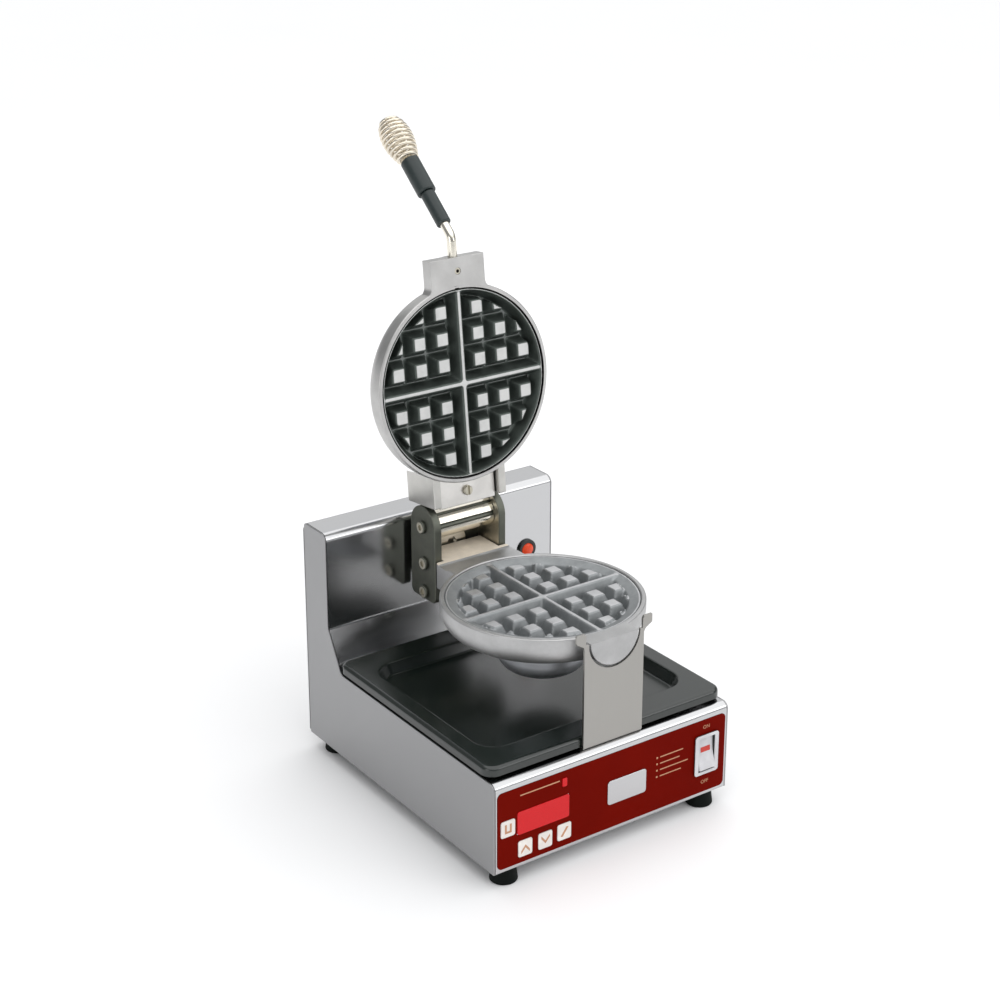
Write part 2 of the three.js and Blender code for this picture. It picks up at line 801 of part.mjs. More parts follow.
// Drip tray: one pressed sheet. The recess wall and the outer skirt are bent sections that run
// round two different rounded rectangles, with the flat rim between them.
function dripTray() {
  const floor = deckHeight + seam + traySheet;
  const wall = sheetSides([point(-trayWallRun - trayWallBend * 2, floor), point(-trayWallRun, floor),
    point(0, trayRim), point(trayWallBend * 2, trayRim)], [trayWallBend, trayWallBend], -traySheet, 2);
  const skirt = sheetSides([point(-trayEdgeBend * 2, trayRim), point(0, trayRim), point(0, traySkirtBase)],
    [trayEdgeBend], -traySheet, 3);
  const recess = (p) => trayRing(recessHalf, recessFront, recessRear, recessCorner, p);
  const edge = (p) => trayRing(sideX, trayFront, trayRear, trayCorner, p);
  const tray = loft([
    ...wall.face.map(recess),
    ...skirt.face.map(edge),
    ...skirt.back.reverse().map(edge),
    ...wall.back.reverse().map(recess),
  ]);
  // the rear skirt is trimmed to lie along the slope at the foot of the tower
  const slope = point(slopeRun, slopeRise).normalize();
  const clear = 2 * seam;
  const low = point(towerY - slopeRun - clear * slope.y, deckHeight + clear * slope.x);
  const high = low.clone().addScaledVector(slope, slopeRise);
  const wedge = [low, point(towerY, low.y), point(towerY, high.y), high];
  const behind = slab('side', wedge, -bodyWidth, bodyWidth);
  return cut(tray, behind);
}

// p.x is how far the ring lies outside the rectangle, p.y its height
function trayRing(half, front, rear, radius, p) {
  const corner = radius + p.x;
  const ring = roundedBox(-half - p.x, half + p.x, front - p.x, rear + p.x, corner, 4);
  return ring.map((q) => new THREE.Vector3(q.x, q.y, p.y));
}

// Front cradle: a bent strip with a round notch for the lower lug and two prongs that flare outwards
function frontCradle() {
  const high = rimHeight + prongHigh;
  const low = rimHeight + prongLow;
  const side = sheetOutline([point(cradleFront, high), point(cradleFront, deckHeight + seam),
    point(cradleFront + cradleFoot, deckHeight + seam)], [cradleBend], cradleSheet, 5);
  const bent = slab('side', side, -prongReach, prongReach);
  const half = cradleWidth / 2;
  const shoulder = low - (prongReach - half) / 2;
  const prong = [
    point(half, deckHeight),
    point(half, shoulder - cradleBend),
    point(half + sheet, shoulder),
    point(prongReach, low),
    ...arc(prongReach - sheet, high - sheet, sheet, 0, Math.PI / 2, 3),
    point(prongClear + sheet, high),
    point(prongClear, high - cradleSheet),
    point(prongClear, rimHeight),
  ];
  const mirrored = prong.map((p) => point(-p.x, p.y)).reverse();
  const notch = arc(0, rimHeight, notchRadius, 0, -Math.PI, 20);
  const front = slab('front', [...prong, ...notch, ...mirrored], cradleFront - overrun,
    cradleFront + cradleFoot + overrun);
  return bent.intersect(front);
}

// Grid unit, drawn with its rim plane at zero, the bowl below it, the front lug at -Y
const gridHome = spot(0, 0, 0);

function casingOutside() {
  const bowl = [point(0, 0), point(casingRadius, 0)];
  for (let i = 0; i <= 6; i++) {
    const angle = (Math.PI / 2) * (i / 6);
    bowl.push(point(
      casingFloorRadius + (casingRadius - casingFloorRadius) * Math.cos(angle),
      -casingBand - (casingDepth - casingBand) * Math.sin(angle),
    ));
  }
  bowl.push(point(0, -casingDepth));
  return turned(bowl.reverse(), 'z', gridHome, 42);
}

function casingInside() {
  const ledge = -valleyDepth - plateWeb - seam;
  const floor = casingWall - casingDepth;
  const hollow = [
    point(0, -casingDepth - overrun),
    point(wiringHole, -casingDepth - overrun),
    point(wiringHole, floor),
    point(cavityRadius, floor),
    point(cavityRadius, ledge),
    point(casingBore, ledge),
    point(casingBore, overrun),
    point(0, overrun),
  ];
  return turned(hollow, 'z', gridHome, 42);
}

function halfRoundLug(radius, reach) {
  const disc = [...arc(0, 0, radius, 0, -Math.PI, 18)];
  return slab('front', disc, -reach, -casingFloorRadius);
}

function rearLug(reach, top, thickness) {
  return block(-rearLugWidth / 2, rearLugWidth / 2, casingFloorRadius, reach, top - thickness, top);
}

// The rear lug has a wide shoulder, as wide as the yoke, up to the front of the yoke's ears
function lowerCasing() {
  const bolt = spot(0, boltY - gridY, lugBoltZ - rimHeight);
  const shoulderReach = hingeY - earRadius - runningGap - gridY;
  const shoulder = block(-earOuter, earOuter, casingFloorRadius, shoulderReach, -shoulderThickness, 0);
  return cut(
    join(casingOutside(), halfRoundLug(lowerLugRadius, lowerLugReach),
      rearLug(lowerRearLugReach, 0, lowerRearLugThickness), shoulder),
    casingInside(),
    rod(pinRadius + seam, 'x', bolt, -rearLugWidth, rearLugWidth),
  );
}

// The top lug is flush with the rim, square in front view, half round at the back, with a
// fillet on each side where it leaves the bowl
function upperCasing() {
  const half = upperLugRadius;
  const leave = -Math.sqrt(casingRadius ** 2 - (half + lugFillet) ** 2);
  const tab = [
    point(half, -upperLugReach),
    ...arc(half + lugFillet, leave - lugFillet, lugFillet, Math.PI, Math.PI / 2, 4),
    ...arc(-half - lugFillet, leave - lugFillet, lugFillet, Math.PI / 2, 0, 4),
    point(-half, -upperLugReach),
  ];
  const plate = slab('plan', tab, -upperLugPlate, 0);
  const socket = spot(0, -upperLugReach, -rodAboveRim);
  const screw = spot(0, -upperLugReach + setScrewInset, 0);
  const lugScrew = spot(0, lugScrewY() - gridY, 0);
  return cut(
    join(casingOutside(), plate, halfRoundLug(half, upperLugReach),
      rearLug(upperRearLugReach, -upperRearLugRecess, upperRearLugThickness)),
    casingInside(),
    rod(rodDiameter / 2 + seam, 'y', socket, -overrun, rodSocket + seam),
    rod(setScrewRadius + seam, 'z', screw, -rodAboveRim, overrun, 16),
    rod(lugScrewRadius + seam, 'z', lugScrew, -casingDepth, 0, 16),
  );
}

function lugScrewY() {
  return (gridY + upperRearLugReach + armWebFront) / 2;
}

// Cast plate: a shallow pan with a raised cross and rows of truncated pyramids
function gridPlate() {
  const outer = casingBore - seam;
  const underside = -valleyDepth - plateWeb;
  const pan = [
    point(0, underside),
    point(outer, underside),
    point(outer, -plateLip),
    point(outer - plateWall, -plateLip),
    point(outer - plateFoot, -valleyDepth),
    point(0, -valleyDepth),
  ];
  const ridge = [
    point(-dividerBase / 2, -valleyDepth - plateWeb / 2),
    point(dividerBase / 2, -valleyDepth - plateWeb / 2),
    point(dividerBase / 2, -valleyDepth),
    point(dividerTop / 2, -dividerDepth),
    point(-dividerTop / 2, -dividerDepth),
    point(-dividerBase / 2, -valleyDepth),
  ];
  const across = slab('side', ridge, -outer, outer);
  const along = slab('front', ridge, -outer, outer);
  const blocks = [];
  const rows = Math.floor((outer - firstPocket) / pocketPitch) + 1;
  for (let i = 0; i < rows; i++) {
    for (let j = 0; j < rows; j++) {
      const x = firstPocket + i * pocketPitch;
      const y = firstPocket + j * pocketPitch;
      if (Math.hypot(x - pocketTop / 2, y - pocketTop / 2) > outer - plateFoot) continue;
      for (const [signX, signY] of [[1, 1], [-1, 1], [-1, -1], [1, -1]]) {
        blocks.push(pyramid(signX * x, signY * y));
      }
    }
  }
  const within = rod(outer - plateWall, 'z', gridHome, underside, -plateLip, 42);
  const relief = join(across, along, ...blocks).intersect(within);
  return join(turned(pan, 'z', gridHome, 42), relief);
}

function pyramid(x, y) {
  const corner = Math.SQRT1_2;
  const height = valleyDepth - pocketTopDepth + plateWeb / 2;
  // the slope of the sides runs on down into the web of the plate
  const base = pocketBase + ((pocketBase - pocketTop) * plateWeb) / 2 / (valleyDepth - pocketTopDepth);
  const body = new THREE.CylinderGeometry(pocketTop * corner, base * corner, height, 4);
  body.rotateY(Math.PI / 4);
  body.rotateX(Math.PI / 2);
  return solid(body.translate(x, y, -pocketTopDepth - height / 2));
}

// Tubular element: most of a ring, both ends turned in and down through the wiring hole
function heatingElement() {
  const level = -valleyDepth - plateWeb - (casingDepth - casingWall - valleyDepth - plateWeb) / 2;
  const at = (radius, degrees, z) => {
    const angle = THREE.MathUtils.degToRad(degrees);
    return new THREE.Vector3(radius * Math.sin(angle), radius * Math.cos(angle), z);
  };
  const leg = [
    at(elementLegRadius, 50, -elementLegEnd),
    at(elementLegRadius, 50, (level - elementLegEnd) / 2),
    at(elementLegRadius, 50, level - elementDiameter),
    at(elementLegRadius + elementDiameter, 36, level),
    at((elementLegRadius + elementRingRadius) / 2, 18, level),
    at(elementRingRadius - elementDiameter * 2, 13, level),
    at(elementRingRadius - elementDiameter / 3, 18, level),
  ];
  const ring = [];
  for (let degrees = 30; degrees <= 330; degrees += 15) ring.push(at(elementRingRadius, degrees, level));
  const mirrored = leg.map((p) => new THREE.Vector3(-p.x, p.y, p.z)).reverse();
  const route = new THREE.CatmullRomCurve3([...leg, ...ring, ...mirrored]);
  return alongPath(route, elementDiameter / 2, 46, 5);
}

function alongPath(route, radius, steps, sides) {
  const section = new THREE.Shape(circle(radius, 0, 0, sides));
  return solid(new THREE.ExtrudeGeometry(section, { steps, extrudePath: route, bevelEnabled: false }));
}

// Round cup over the terminals of the element, open towards the casing
function terminalCup() {
  const top = -casingDepth - seam;
  const outside = [point(0, -cupDepth), ...arc(cupRadius - cupRound, cupRound - cupDepth, cupRound,
    -Math.PI / 2, 0, 3), point(cupRadius, top)];
  const inside = [point(cupRadius - cupSheet, top), ...arc(cupRadius - cupRound, cupRound - cupDepth,
    cupRound - cupSheet, 0, -Math.PI / 2, 3), point(0, cupSheet - cupDepth)];
  return turned([...outside, ...inside], 'z', gridHome, 26);
}

// Probe that reads the plate from below, with a wider cap at its foot
function temperatureProbe() {
  const top = -valleyDepth - plateWeb - seam;
  const profile = [
    point(0, -probeEnd),
    point(probeCapRadius, -probeEnd),
    point(probeCapRadius, probeCap - probeEnd),
    point(probeRadius, probeCap - probeEnd),
    point(probeRadius, top),
    point(0, top),
  ];
  return turned(profile, 'z', spot(0, -elementLegRadius - probeCapRadius, 0), 14);
}

// Yoke: two thick ears, round about the hinge pin at the top, and the web that joins them
function hingeYoke() {
  const front = hingeY - earRadius;
  const rear = hingeY + earRadius;
  const outline = [
    ...arc(rear - earCorner, earBase + earCorner, earCorner, -Math.PI / 2, 0, 4),
    ...arc(hingeY, hingeZ, earRadius, 0, Math.PI, 16),
    ...arc(front + earCorner, earBase + earCorner, earCorner, Math.PI, 1.5 * Math.PI, 4),
  ];
  const ears = [
    slab('side', outline, -earOuter, -earInner),
    slab('side', outline, earInner, earOuter),
  ];
  const web = block(-earInner - seam, earInner + seam, rear - yokeWeb, rear, earBase + yokeWebRise,
    hingeZ + yokeWebRise)
    .intersect(slab('side', outline, -earOuter, earOuter));
  const reach = earOuter + overrun;
  const through = (y, z) => rod(pinRadius + seam, 'x', spot(0, y, z), -reach, reach);
  return cut(
    join(...ears, web),
    through(hingeY, hingeZ),
    through(boltY, lugBoltZ),
    through(boltY, tieBoltZ),
    rod(shaftRadius + seam, 'y', spot(0, rear, rimHeight), -yokeWeb - overrun, overrun, 24),
  );
}

// A pin or bolt across both ears, with a round head on each side
function crossPin(y, z, middleRadius) {
  const face = earOuter + seam;
  const inside = earInner - seam;
  const profile = [
    point(0, -face - pinHead),
    point(pinHeadRadius - sheet / 2, -face - pinHead),
    point(pinHeadRadius, -face - pinHead + sheet / 2),
    point(pinHeadRadius, -face),
    point(pinRadius, -face),
  ];
  if (middleRadius > pinRadius) {
    profile.push(point(pinRadius, -inside), point(middleRadius, -inside));
  }
  const other = profile.map((p) => point(p.x, -p.y)).reverse();
  return turned([...profile, ...other], 'x', spot(0, y, z), 12);
}

// Shaft that carries the yoke: head in front of the yoke's web, body through bearing and collar
function trunnionShaft() {
  const webFront = hingeY + earRadius - yokeWeb - seam;
  const end = towerY + shaftReach;
  const profile = [
    point(0, webFront - shaftHead),
    point(shaftHeadRadius, webFront - shaftHead),
    point(shaftHeadRadius, webFront),
    point(shaftRadius, webFront),
    point(shaftRadius, end - sheet),
    point(shaftRadius - sheet, end),
    point(0, end),
  ];
  return turned(profile, 'y', spot(0, 0, rimHeight), 24);
}

function trunnionBearing() {
  const bore = shaftRadius + seam;
  const front = hingeY + earRadius + seam;
  const profile = [
    point(bore, front),
    point(bearingRadius - sheet, front),
    point(bearingRadius, front + sheet),
    point(bearingRadius, towerY - seam),
    point(bearingHubRadius, towerY - seam),
    point(bearingHubRadius, towerY + bearingHub),
    point(bore, towerY + bearingHub),
  ];
  return turned(profile, 'y', spot(0, 0, rimHeight), 24);
}

function shaftCollar() {
  const start = towerY + bearingHub + seam;
  return tube(collarRadius, 'y', spot(0, 0, rimHeight), start, start + collarLength, shaftRadius + seam, 24);
}

// The lid, drawn closed and about the hinge pin, then opened as one group
const lid = new THREE.Group();
lid.position.set(0, hingeY, hingeZ);
lid.rotation.x = -lidOpenAngle;
waffleMaker.add(lid);

const upperUnit = new THREE.Group();
upperUnit.position.set(0, gridY - hingeY, upperRimZ - hingeZ);
upperUnit.rotation.y = Math.PI;
lid.add(upperUnit);

const lowerUnit = new THREE.Group();
lowerUnit.position.set(0, gridY, rimHeight);
waffleMaker.add(lowerUnit);

// Arm: barrel round the pin, neck, web behind the rear lug, and a cheek on each side that
// reaches forward to the bowl. All places are from the pin, with the lid closed.
function lidArm() {
  const end = -earRadius - runningGap;
  const lugBack = upperRimZ + upperRearLugRecess + upperRearLugThickness + seam - hingeZ;
  const webFront = armWebFront - hingeY;
  const cheekEnd = gridY - hingeY + casingFloorRadius;
  const cheeks = [-1, 1].map((side) => {
    const edges = [side * earInner, side * earOuter];
    const outline = roundedBox(cheekEnd, end, -cheekFront, cheekRear, sheet, 3);
    return slab('side', outline, Math.min(...edges), Math.max(...edges));
  });
  const inner = earInner - 2 * seam;
  const web = block(-earInner - seam, earInner + seam, webFront, end, lugBack, lugBack + armWeb);
  const neck = block(-inner, inner, end - seam, 0, -neckFront, neckRear);
  const barrel = rod(barrelRadius, 'x', gridHome, -inner, inner, 24);
  const screw = spot(0, lugScrewY() - hingeY, 0);
  const beyond = casingDepth + cheekFront;
  return cut(
    join(...cheeks, web, neck, barrel),
    rod(pinRadius + seam, 'x', gridHome, -earInner, earInner),
    rod(casingRadius + seam, 'z', spot(0, -gridToHinge, 0), -beyond, beyond, 42),
    rod(lugScrewRadius + seam, 'z', screw, lugBack - overrun, lugBack + armWeb + overrun, 16),
  );
}

// The handle lies in the middle plane of the lid. Its rod leaves the lug level with the rim,
// then bends up. Along the sloping part, places are distances from the corner of the bend.
const rodLevel = upperRimZ + rodAboveRim - hingeZ;
const bendCorner = new THREE.Vector3(0, lugEndY - rodStraight - hingeY, rodLevel);
const handleDirection = new THREE.Vector3(0, -Math.cos(handleAngle), Math.sin(handleAngle));
const alongHandle = (distance) => bendCorner.clone().addScaledVector(handleDirection, distance);

function handleRod() {
  const tangent = rodBend * Math.tan(handleAngle / 2);
  const start = new THREE.Vector3(0, lugEndY + rodSocket - hingeY, rodLevel);
  const bendStart = bendCorner.clone().add(new THREE.Vector3(0, tangent, 0));
  const centre = bendStart.clone().add(new THREE.Vector3(0, 0, rodBend));
  const places = [start];
  const steps = 6;
  for (let i = 0; i <= steps; i++) {
    const place = bendStart.clone().sub(centre).applyAxisAngle(axisX, (-handleAngle * i) / steps);
    places.push(place.add(centre));
  }
  places.push(alongHandle(wideSleeveEnd + rodPilot));
  return wireThrough(places, rodDiameter / 2, 12);
}

// Turned pieces of the handle are drawn along Y and laid on the sloping rod
function onHandle(profile, sides) {
  const body = new THREE.LatheGeometry([...profile, profile[0]], sides);
  body.applyQuaternion(new THREE.Quaternion().setFromUnitVectors(axisY, handleDirection));
  return solid(body.translate(bendCorner.x, bendCorner.y, bendCorner.z));
}

function sleeve(radius, from, to) {
  const bore = rodDiameter / 2 + seam;
  const quarter = Math.PI / 2;
  return onHandle([
    point(bore, from),
    ...arc(radius - sleeveRound, from + sleeveRound, sleeveRound, -quarter, 0, 2),
    ...arc(radius - sleeveRound, to - sleeveRound, sleeveRound, 0, quarter, 2),
    point(bore, to),
  ], 20);
}

// Radius of the beehive spring's centre line, with share 0 at the sleeve and 1 at the tip
function springRadius(share) {
  if (share < springPeakShare) {
    const rise = Math.sin(((Math.PI / 2) * share) / springPeakShare);
    return springBaseRadius + (springMaxRadius - springBaseRadius) * rise;
  }
  const fall = (share - springPeakShare) / (1 - springPeakShare);
  return springTipRadius + (springMaxRadius - springTipRadius) * Math.sqrt(1 - fall ** 2);
}

// Beehive spring that keeps the hand cool: one wire on a helix of changing radius
function coilHandle() {
  const stepsPerCurl = 8;
  const base = wideSleeveEnd + seam + springWire / 2;
  const rise = springLength - springWire - seam;
  const steps = springCurls * stepsPerCurl;
  const places = [];
  for (let i = 0; i <= steps; i++) {
    const share = i / steps;
    const angle = (2 * Math.PI * i) / stepsPerCurl;
    const radius = springRadius(share);
    places.push(new THREE.Vector3(radius * Math.cos(angle), base + rise * share, radius * Math.sin(angle)));
  }
  const straight = (end, next) => end.clone().add(end.clone().sub(next).setLength(springWire));
  places.unshift(straight(places[0], places[1]));
  places.push(straight(places[steps + 1], places[steps]));
  const turn = new THREE.Quaternion().setFromUnitVectors(axisY, handleDirection);
  places.forEach((place) => place.applyQuaternion(turn).add(bendCorner));
  reportSpringGap(places);
  return wireThrough(places, springWire / 2, 5);
}

// A tube with one ring of points at each place, square to the wire there
function wireThrough(places, radius, sides) {
  const heading = (i) => places[Math.min(i + 1, places.length - 1)].clone()
    .sub(places[Math.max(i - 1, 0)]).normalize();
  let across = new THREE.Vector3(1, 0, 0).cross(heading(0)).normalize();
  const rings = places.map((place, i) => {
    const forward = heading(i);
    across = across.clone().addScaledVector(forward, -across.dot(forward)).normalize();
    const third = forward.clone().cross(across);
    return circle(radius, 0, 0, sides).map((p) =>
      place.clone().addScaledVector(across, p.x).addScaledVector(third, p.y));
  });
  return loft(rings);
}

// Least gap between curls, measured between points on the wire more than half a curl apart
function reportSpringGap(places) {
  let least = Infinity;
  const line = new THREE.Line3();
  const nearest = new THREE.Vector3();
  for (let i = 0; i < places.length; i++) {
    for (let j = i + 5; j + 1 < places.length; j++) {
      line.set(places[j], places[j + 1]);
      line.closestPointToPoint(places[i], true, nearest);
      least = Math.min(least, nearest.distanceTo(places[i]) - springWire);
    }
  }
  console.log(`least gap of the spring to itself: ${least.toFixed(2)} mm`);
}

// Socket set screw in the top lug, just clear of the handle rod
function setScrew() {
  const face = -setScrewSocket / 2;
  const tip = rodDiameter / 2 + seam - rodAboveRim;
  const place = spot(0, -upperLugReach + setScrewInset, 0);
  const socket = circle(setScrewRadius / 2, place.x, place.y, 6);
  const shank = rod(setScrewRadius, 'z', place, tip, face, 16);
  return cut(shank, slab('plan', socket, face - setScrewSocket / 2, overrun));
}

// Slotted screw that holds the rear lug to the arm, head towards the open grid
function lugScrew() {
  const headBase = -upperRearLugRecess + seam;
  const top = headBase + lugScrewHead;
  const tip = -upperRearLugRecess - upperRearLugThickness - armWeb + sheet;
  const place = spot(0, lugScrewY() - gridY, 0);
  const profile = [
    point(0, tip),
    point(lugScrewRadius, tip),
    point(lugScrewRadius, headBase),
    point(lugScrewHeadRadius, headBase),
    point(lugScrewHeadRadius, top - sheet / 2),
    point(lugScrewHeadRadius - sheet / 2, top),
    point(0, top),
  ];
  const reach = lugScrewHeadRadius + overrun;
  const slot = block(place.x - lugScrewSlot / 2, place.x + lugScrewSlot / 2, place.y - reach, place.y + reach,
    top - sheet, top + overrun);
  return cut(turned(profile, 'z', place, 20), slot);
}

// The housing
piece('chassis_wrap', chassisWrap(), brushed);
piece('left_side_panel', sidePanel(-sideX + sheet, -sideX), sheetSteel);
piece('right_side_panel', sidePanel(sideX - sheet, sideX), sheetSteel);
piece('rear_panel', rearPanel(), sheetSteel);
piece('base_plate', basePlate(), sheetSteel);
['foot_front_left', 'foot_front_right', 'foot_rear_left', 'foot_rear_right'].forEach((name, i) => {
  piece(name, foot(...footPlaces()[i]), rubber);
});

// The control panel
piece('control_overlay', controlFilm(), redFilm);
piece('display_window', displayWindow(), redWindow);
piece('indicator_lens', indicatorLens(), redWindow);
keyPlaces.forEach(([x, z], i) => piece(`key_${i + 1}`, key(x, z), keyWhite));
piece('switch_bezel', switchBezel(), switchGrey);
const rockerSeat = new THREE.Group();
rockerSeat.position.set(switchX, filmY + rockerPivotDepth, switchZ);
rockerSeat.rotation.x = -rockerTilt;
waffleMaker.add(rockerSeat);
piece('rocker_switch', rockerBody(), switchGrey, rockerSeat);
piece('pilot_bezel', pilotBezel(), blackPlastic);
piece('pilot_lens', pilotLens(), lampRed);

// Inside the housing
piece('control_board', controlBoard(), boardGreen);
piece('transformer', transformer(), coreSteel);
piece('relay', relay(), blackPlastic);
piece('terminal_block', terminalBlock(), ceramic);
piece('cord_inlet', cordInlet(), blackPlastic);

// On the deck
piece('drip_tray', dripTray(), blackSteel);
piece('front_cradle', frontCradle(), brushed);

// Hinge
piece('hinge_yoke', hingeYoke(), yokeGrey);
piece('trunnion_shaft', trunnionShaft(), polished);
piece('trunnion_bearing', trunnionBearing(), castBright);
piece('shaft_collar', shaftCollar(), sheetSteel);
piece('hinge_pin', crossPin(hingeY, hingeZ, pinRadius), polished);
piece('lower_lug_bolt', crossPin(boltY, lugBoltZ, pinRadius), polished);
piece('yoke_tie_bolt', crossPin(boltY, tieBoltZ, tieTubeRadius), polished);

// Lower grid unit
piece('lower_casing', lowerCasing(), castBright, lowerUnit);
piece('lower_grid', gridPlate(), castDark, lowerUnit);
piece('lower_element', heatingElement(), coreSteel, lowerUnit);
piece('lower_terminal_cup', terminalCup(), brushed, lowerUnit);
piece('temperature_probe', temperatureProbe(), polished, lowerUnit);

// Lid
piece('lid_arm', lidArm(), castBright, lid);
piece('upper_casing', upperCasing(), castBright, upperUnit);
piece('upper_grid', gridPlate(), castDark, upperUnit);
piece('upper_element', heatingElement(), coreSteel, upperUnit);
piece('upper_terminal_cup', terminalCup(), brushed, upperUnit);
piece('lug_screw', lugScrew(), polished, upperUnit);
piece('set_screw', setScrew(), coreSteel, upperUnit);
piece('handle_rod', handleRod(), polished, lid);
piece('rod_sleeve', sleeve(narrowSleeveRadius, narrowSleeveStart, narrowSleeveEnd), sleevePlastic, lid);
piece('grip_sleeve', sleeve(wideSleeveRadius, narrowSleeveEnd + seam, wideSleeveEnd), sleevePlastic, lid);
piece('coil_handle', coilHandle(), springNickel, lid);

// The open handle reaches past the back of the housing, so the middle of the whole lies behind
// the middle of the housing
const room = new THREE.Box3().setFromObject(waffleMaker, true);
waffleMaker.position.y = -(room.min.y + room.max.y) / 2;

export default waffleMaker;
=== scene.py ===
"""Looks of a countertop waffle maker with a round cast grid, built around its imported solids.

Lengths are in millimetres in the drawing code and become metres in the meshes. Places are drawn
from the middle of the housing, as in the solids, or in the frame of a unit: the lower grid, the
upper grid, the hinge pin of the lid, or the sloping part of the handle.
"""

import math

import bmesh
import bpy
from mathutils import Matrix, Vector


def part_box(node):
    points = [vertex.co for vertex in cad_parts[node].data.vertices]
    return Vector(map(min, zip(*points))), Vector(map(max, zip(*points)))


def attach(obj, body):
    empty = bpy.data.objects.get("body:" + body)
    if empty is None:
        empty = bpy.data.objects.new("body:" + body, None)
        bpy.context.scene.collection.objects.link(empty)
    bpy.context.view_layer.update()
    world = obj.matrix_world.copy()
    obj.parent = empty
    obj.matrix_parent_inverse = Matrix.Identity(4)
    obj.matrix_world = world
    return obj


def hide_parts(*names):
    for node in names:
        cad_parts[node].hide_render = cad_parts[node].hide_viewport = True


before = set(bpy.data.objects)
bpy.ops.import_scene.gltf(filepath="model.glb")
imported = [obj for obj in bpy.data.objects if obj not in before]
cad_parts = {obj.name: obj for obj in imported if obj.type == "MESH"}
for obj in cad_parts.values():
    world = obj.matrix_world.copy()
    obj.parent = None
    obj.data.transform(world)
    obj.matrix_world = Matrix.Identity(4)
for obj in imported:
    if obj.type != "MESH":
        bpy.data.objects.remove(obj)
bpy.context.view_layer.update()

# A millimetre, the gap between pieces, the housing's sheet and a cutter's reach past a face
MM = 0.001
SEAM = 0.3
SHEET = 1.5
OVER = 2

# Housing
SIDE = 132.5
FRONT = -158.5
REAR = 158.5
FOOT = 16
DECK = 104
TOWER_TOP = 240
TOWER_FACE = 117.5
SLOPE_RUN = 22
SLOPE_RISE = 39
PANEL_REAR = 157
PANEL_TOP = 235.7
WRAP_SIDE = SIDE - SHEET - SEAM
FILM_FACE = FRONT - 0.5
KEY_FACE = FILM_FACE - 0.6
FEET_APART = 225
INLET_SPOT = (92, 48)
INLET_RADIUS = 9.5

# Hinge yoke, with places seen from the side as (y, z)
HINGE_Y = 90
HINGE_Z = 236
LUG_BOLT = (87, 199.7)
TIE_BOLT = (87, 170)
PIN = 4
EAR_IN = 33
EAR_OUT = 41
EAR_RADIUS = 21
EARS = ((-EAR_OUT, -EAR_IN), (EAR_IN, EAR_OUT))
SHAFT = 12
BEARING_NECK = 18
LID_OPEN = math.radians(96.2)

# Grid units, with heights from the rim
GRID_Y = -47.6
RIM = 206.7
RIM_GAP = 0.5
BOWL = 94.7
BOWL_DEPTH = 28.8
BOWL_FLOOR = 78.6
BORE = 90
PLATE_SEAT = -18.8
PLATE_UNDER = -18.5
PLATE_EDGE = -0.8
VALLEY = 15
ROOT = 1.75
PAD_FRONT = 110
LUG_REACH = 120
CUP_DEPTH = 70
SCREW_SHANK = 3.5
LUG_SCREW_Y = -31.8
SET_SCREW_Y = -107

# Rod of the handle
ROD = 4.5
ROD_DEPTH = 7.3
ROD_STRAIGHT = 18.8
ROD_LEVEL = RIM + RIM_GAP + ROD_DEPTH - HINGE_Z
HANDLE_SLOPE = math.radians(43.8)
LUG_END = GRID_Y - LUG_REACH
BEND = Vector((0, LUG_END - ROD_STRAIGHT - HINGE_Y, ROD_LEVEL))

# Frames that pieces are drawn in
MIDDLE_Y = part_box("rear_panel")[1].y - REAR * MM
HOUSING = Matrix.Translation((0, MIDDLE_Y, 0)) @ Matrix.Scale(MM, 4)
LID = HOUSING @ Matrix.Translation((0, HINGE_Y, HINGE_Z)) @ Matrix.Rotation(-LID_OPEN, 4, "X")
LOWER = HOUSING @ Matrix.Translation((0, GRID_Y, RIM))
CLOSED_HOME = Matrix.Translation((0, GRID_Y - HINGE_Y, RIM + RIM_GAP - HINGE_Z))
UPPER = LID @ CLOSED_HOME @ Matrix.Rotation(math.pi, 4, "Y")
HANDLE = LID @ Matrix.Translation(BEND) @ Matrix.Rotation(math.pi / 2 - HANDLE_SLOPE, 4, "X")

# How an outline lies: seen from the side it holds (y, z), from the front (x, z), from above (x, y)
VIEWS = {
    "side": Matrix(((0, 0, 1, 0), (1, 0, 0, 0), (0, 1, 0, 0), (0, 0, 0, 1))),
    "front": Matrix(((1, 0, 0, 0), (0, 0, 1, 0), (0, 1, 0, 0), (0, 0, 0, 1))),
    "plan": Matrix.Identity(4),
}


# Node trees


class Value:
    """A socket of a node tree. Sums and products of it add Math nodes to that tree."""

    def __init__(self, tree, socket):
        self.tree = tree
        self.socket = socket

    def maths(self, operation, *others):
        sockets = dict(enumerate((self, *others)))
        return self.tree.node("ShaderNodeMath", {"operation": operation}, sockets)

    def __add__(self, other):
        return self.maths("ADD", other)

    def __sub__(self, other):
        return self.maths("SUBTRACT", other)

    def __rsub__(self, other):
        return self.maths("MULTIPLY", -1).maths("ADD", other)

    def __mul__(self, other):
        return self.maths("MULTIPLY", other)

    def __truediv__(self, other):
        return self.maths("DIVIDE", other)

    def least(self, other):
        return self.maths("MINIMUM", other)

    def most(self, other):
        return self.maths("MAXIMUM", other)

    def size(self):
        return self.maths("ABSOLUTE")

    __radd__ = __add__
    __rmul__ = __mul__


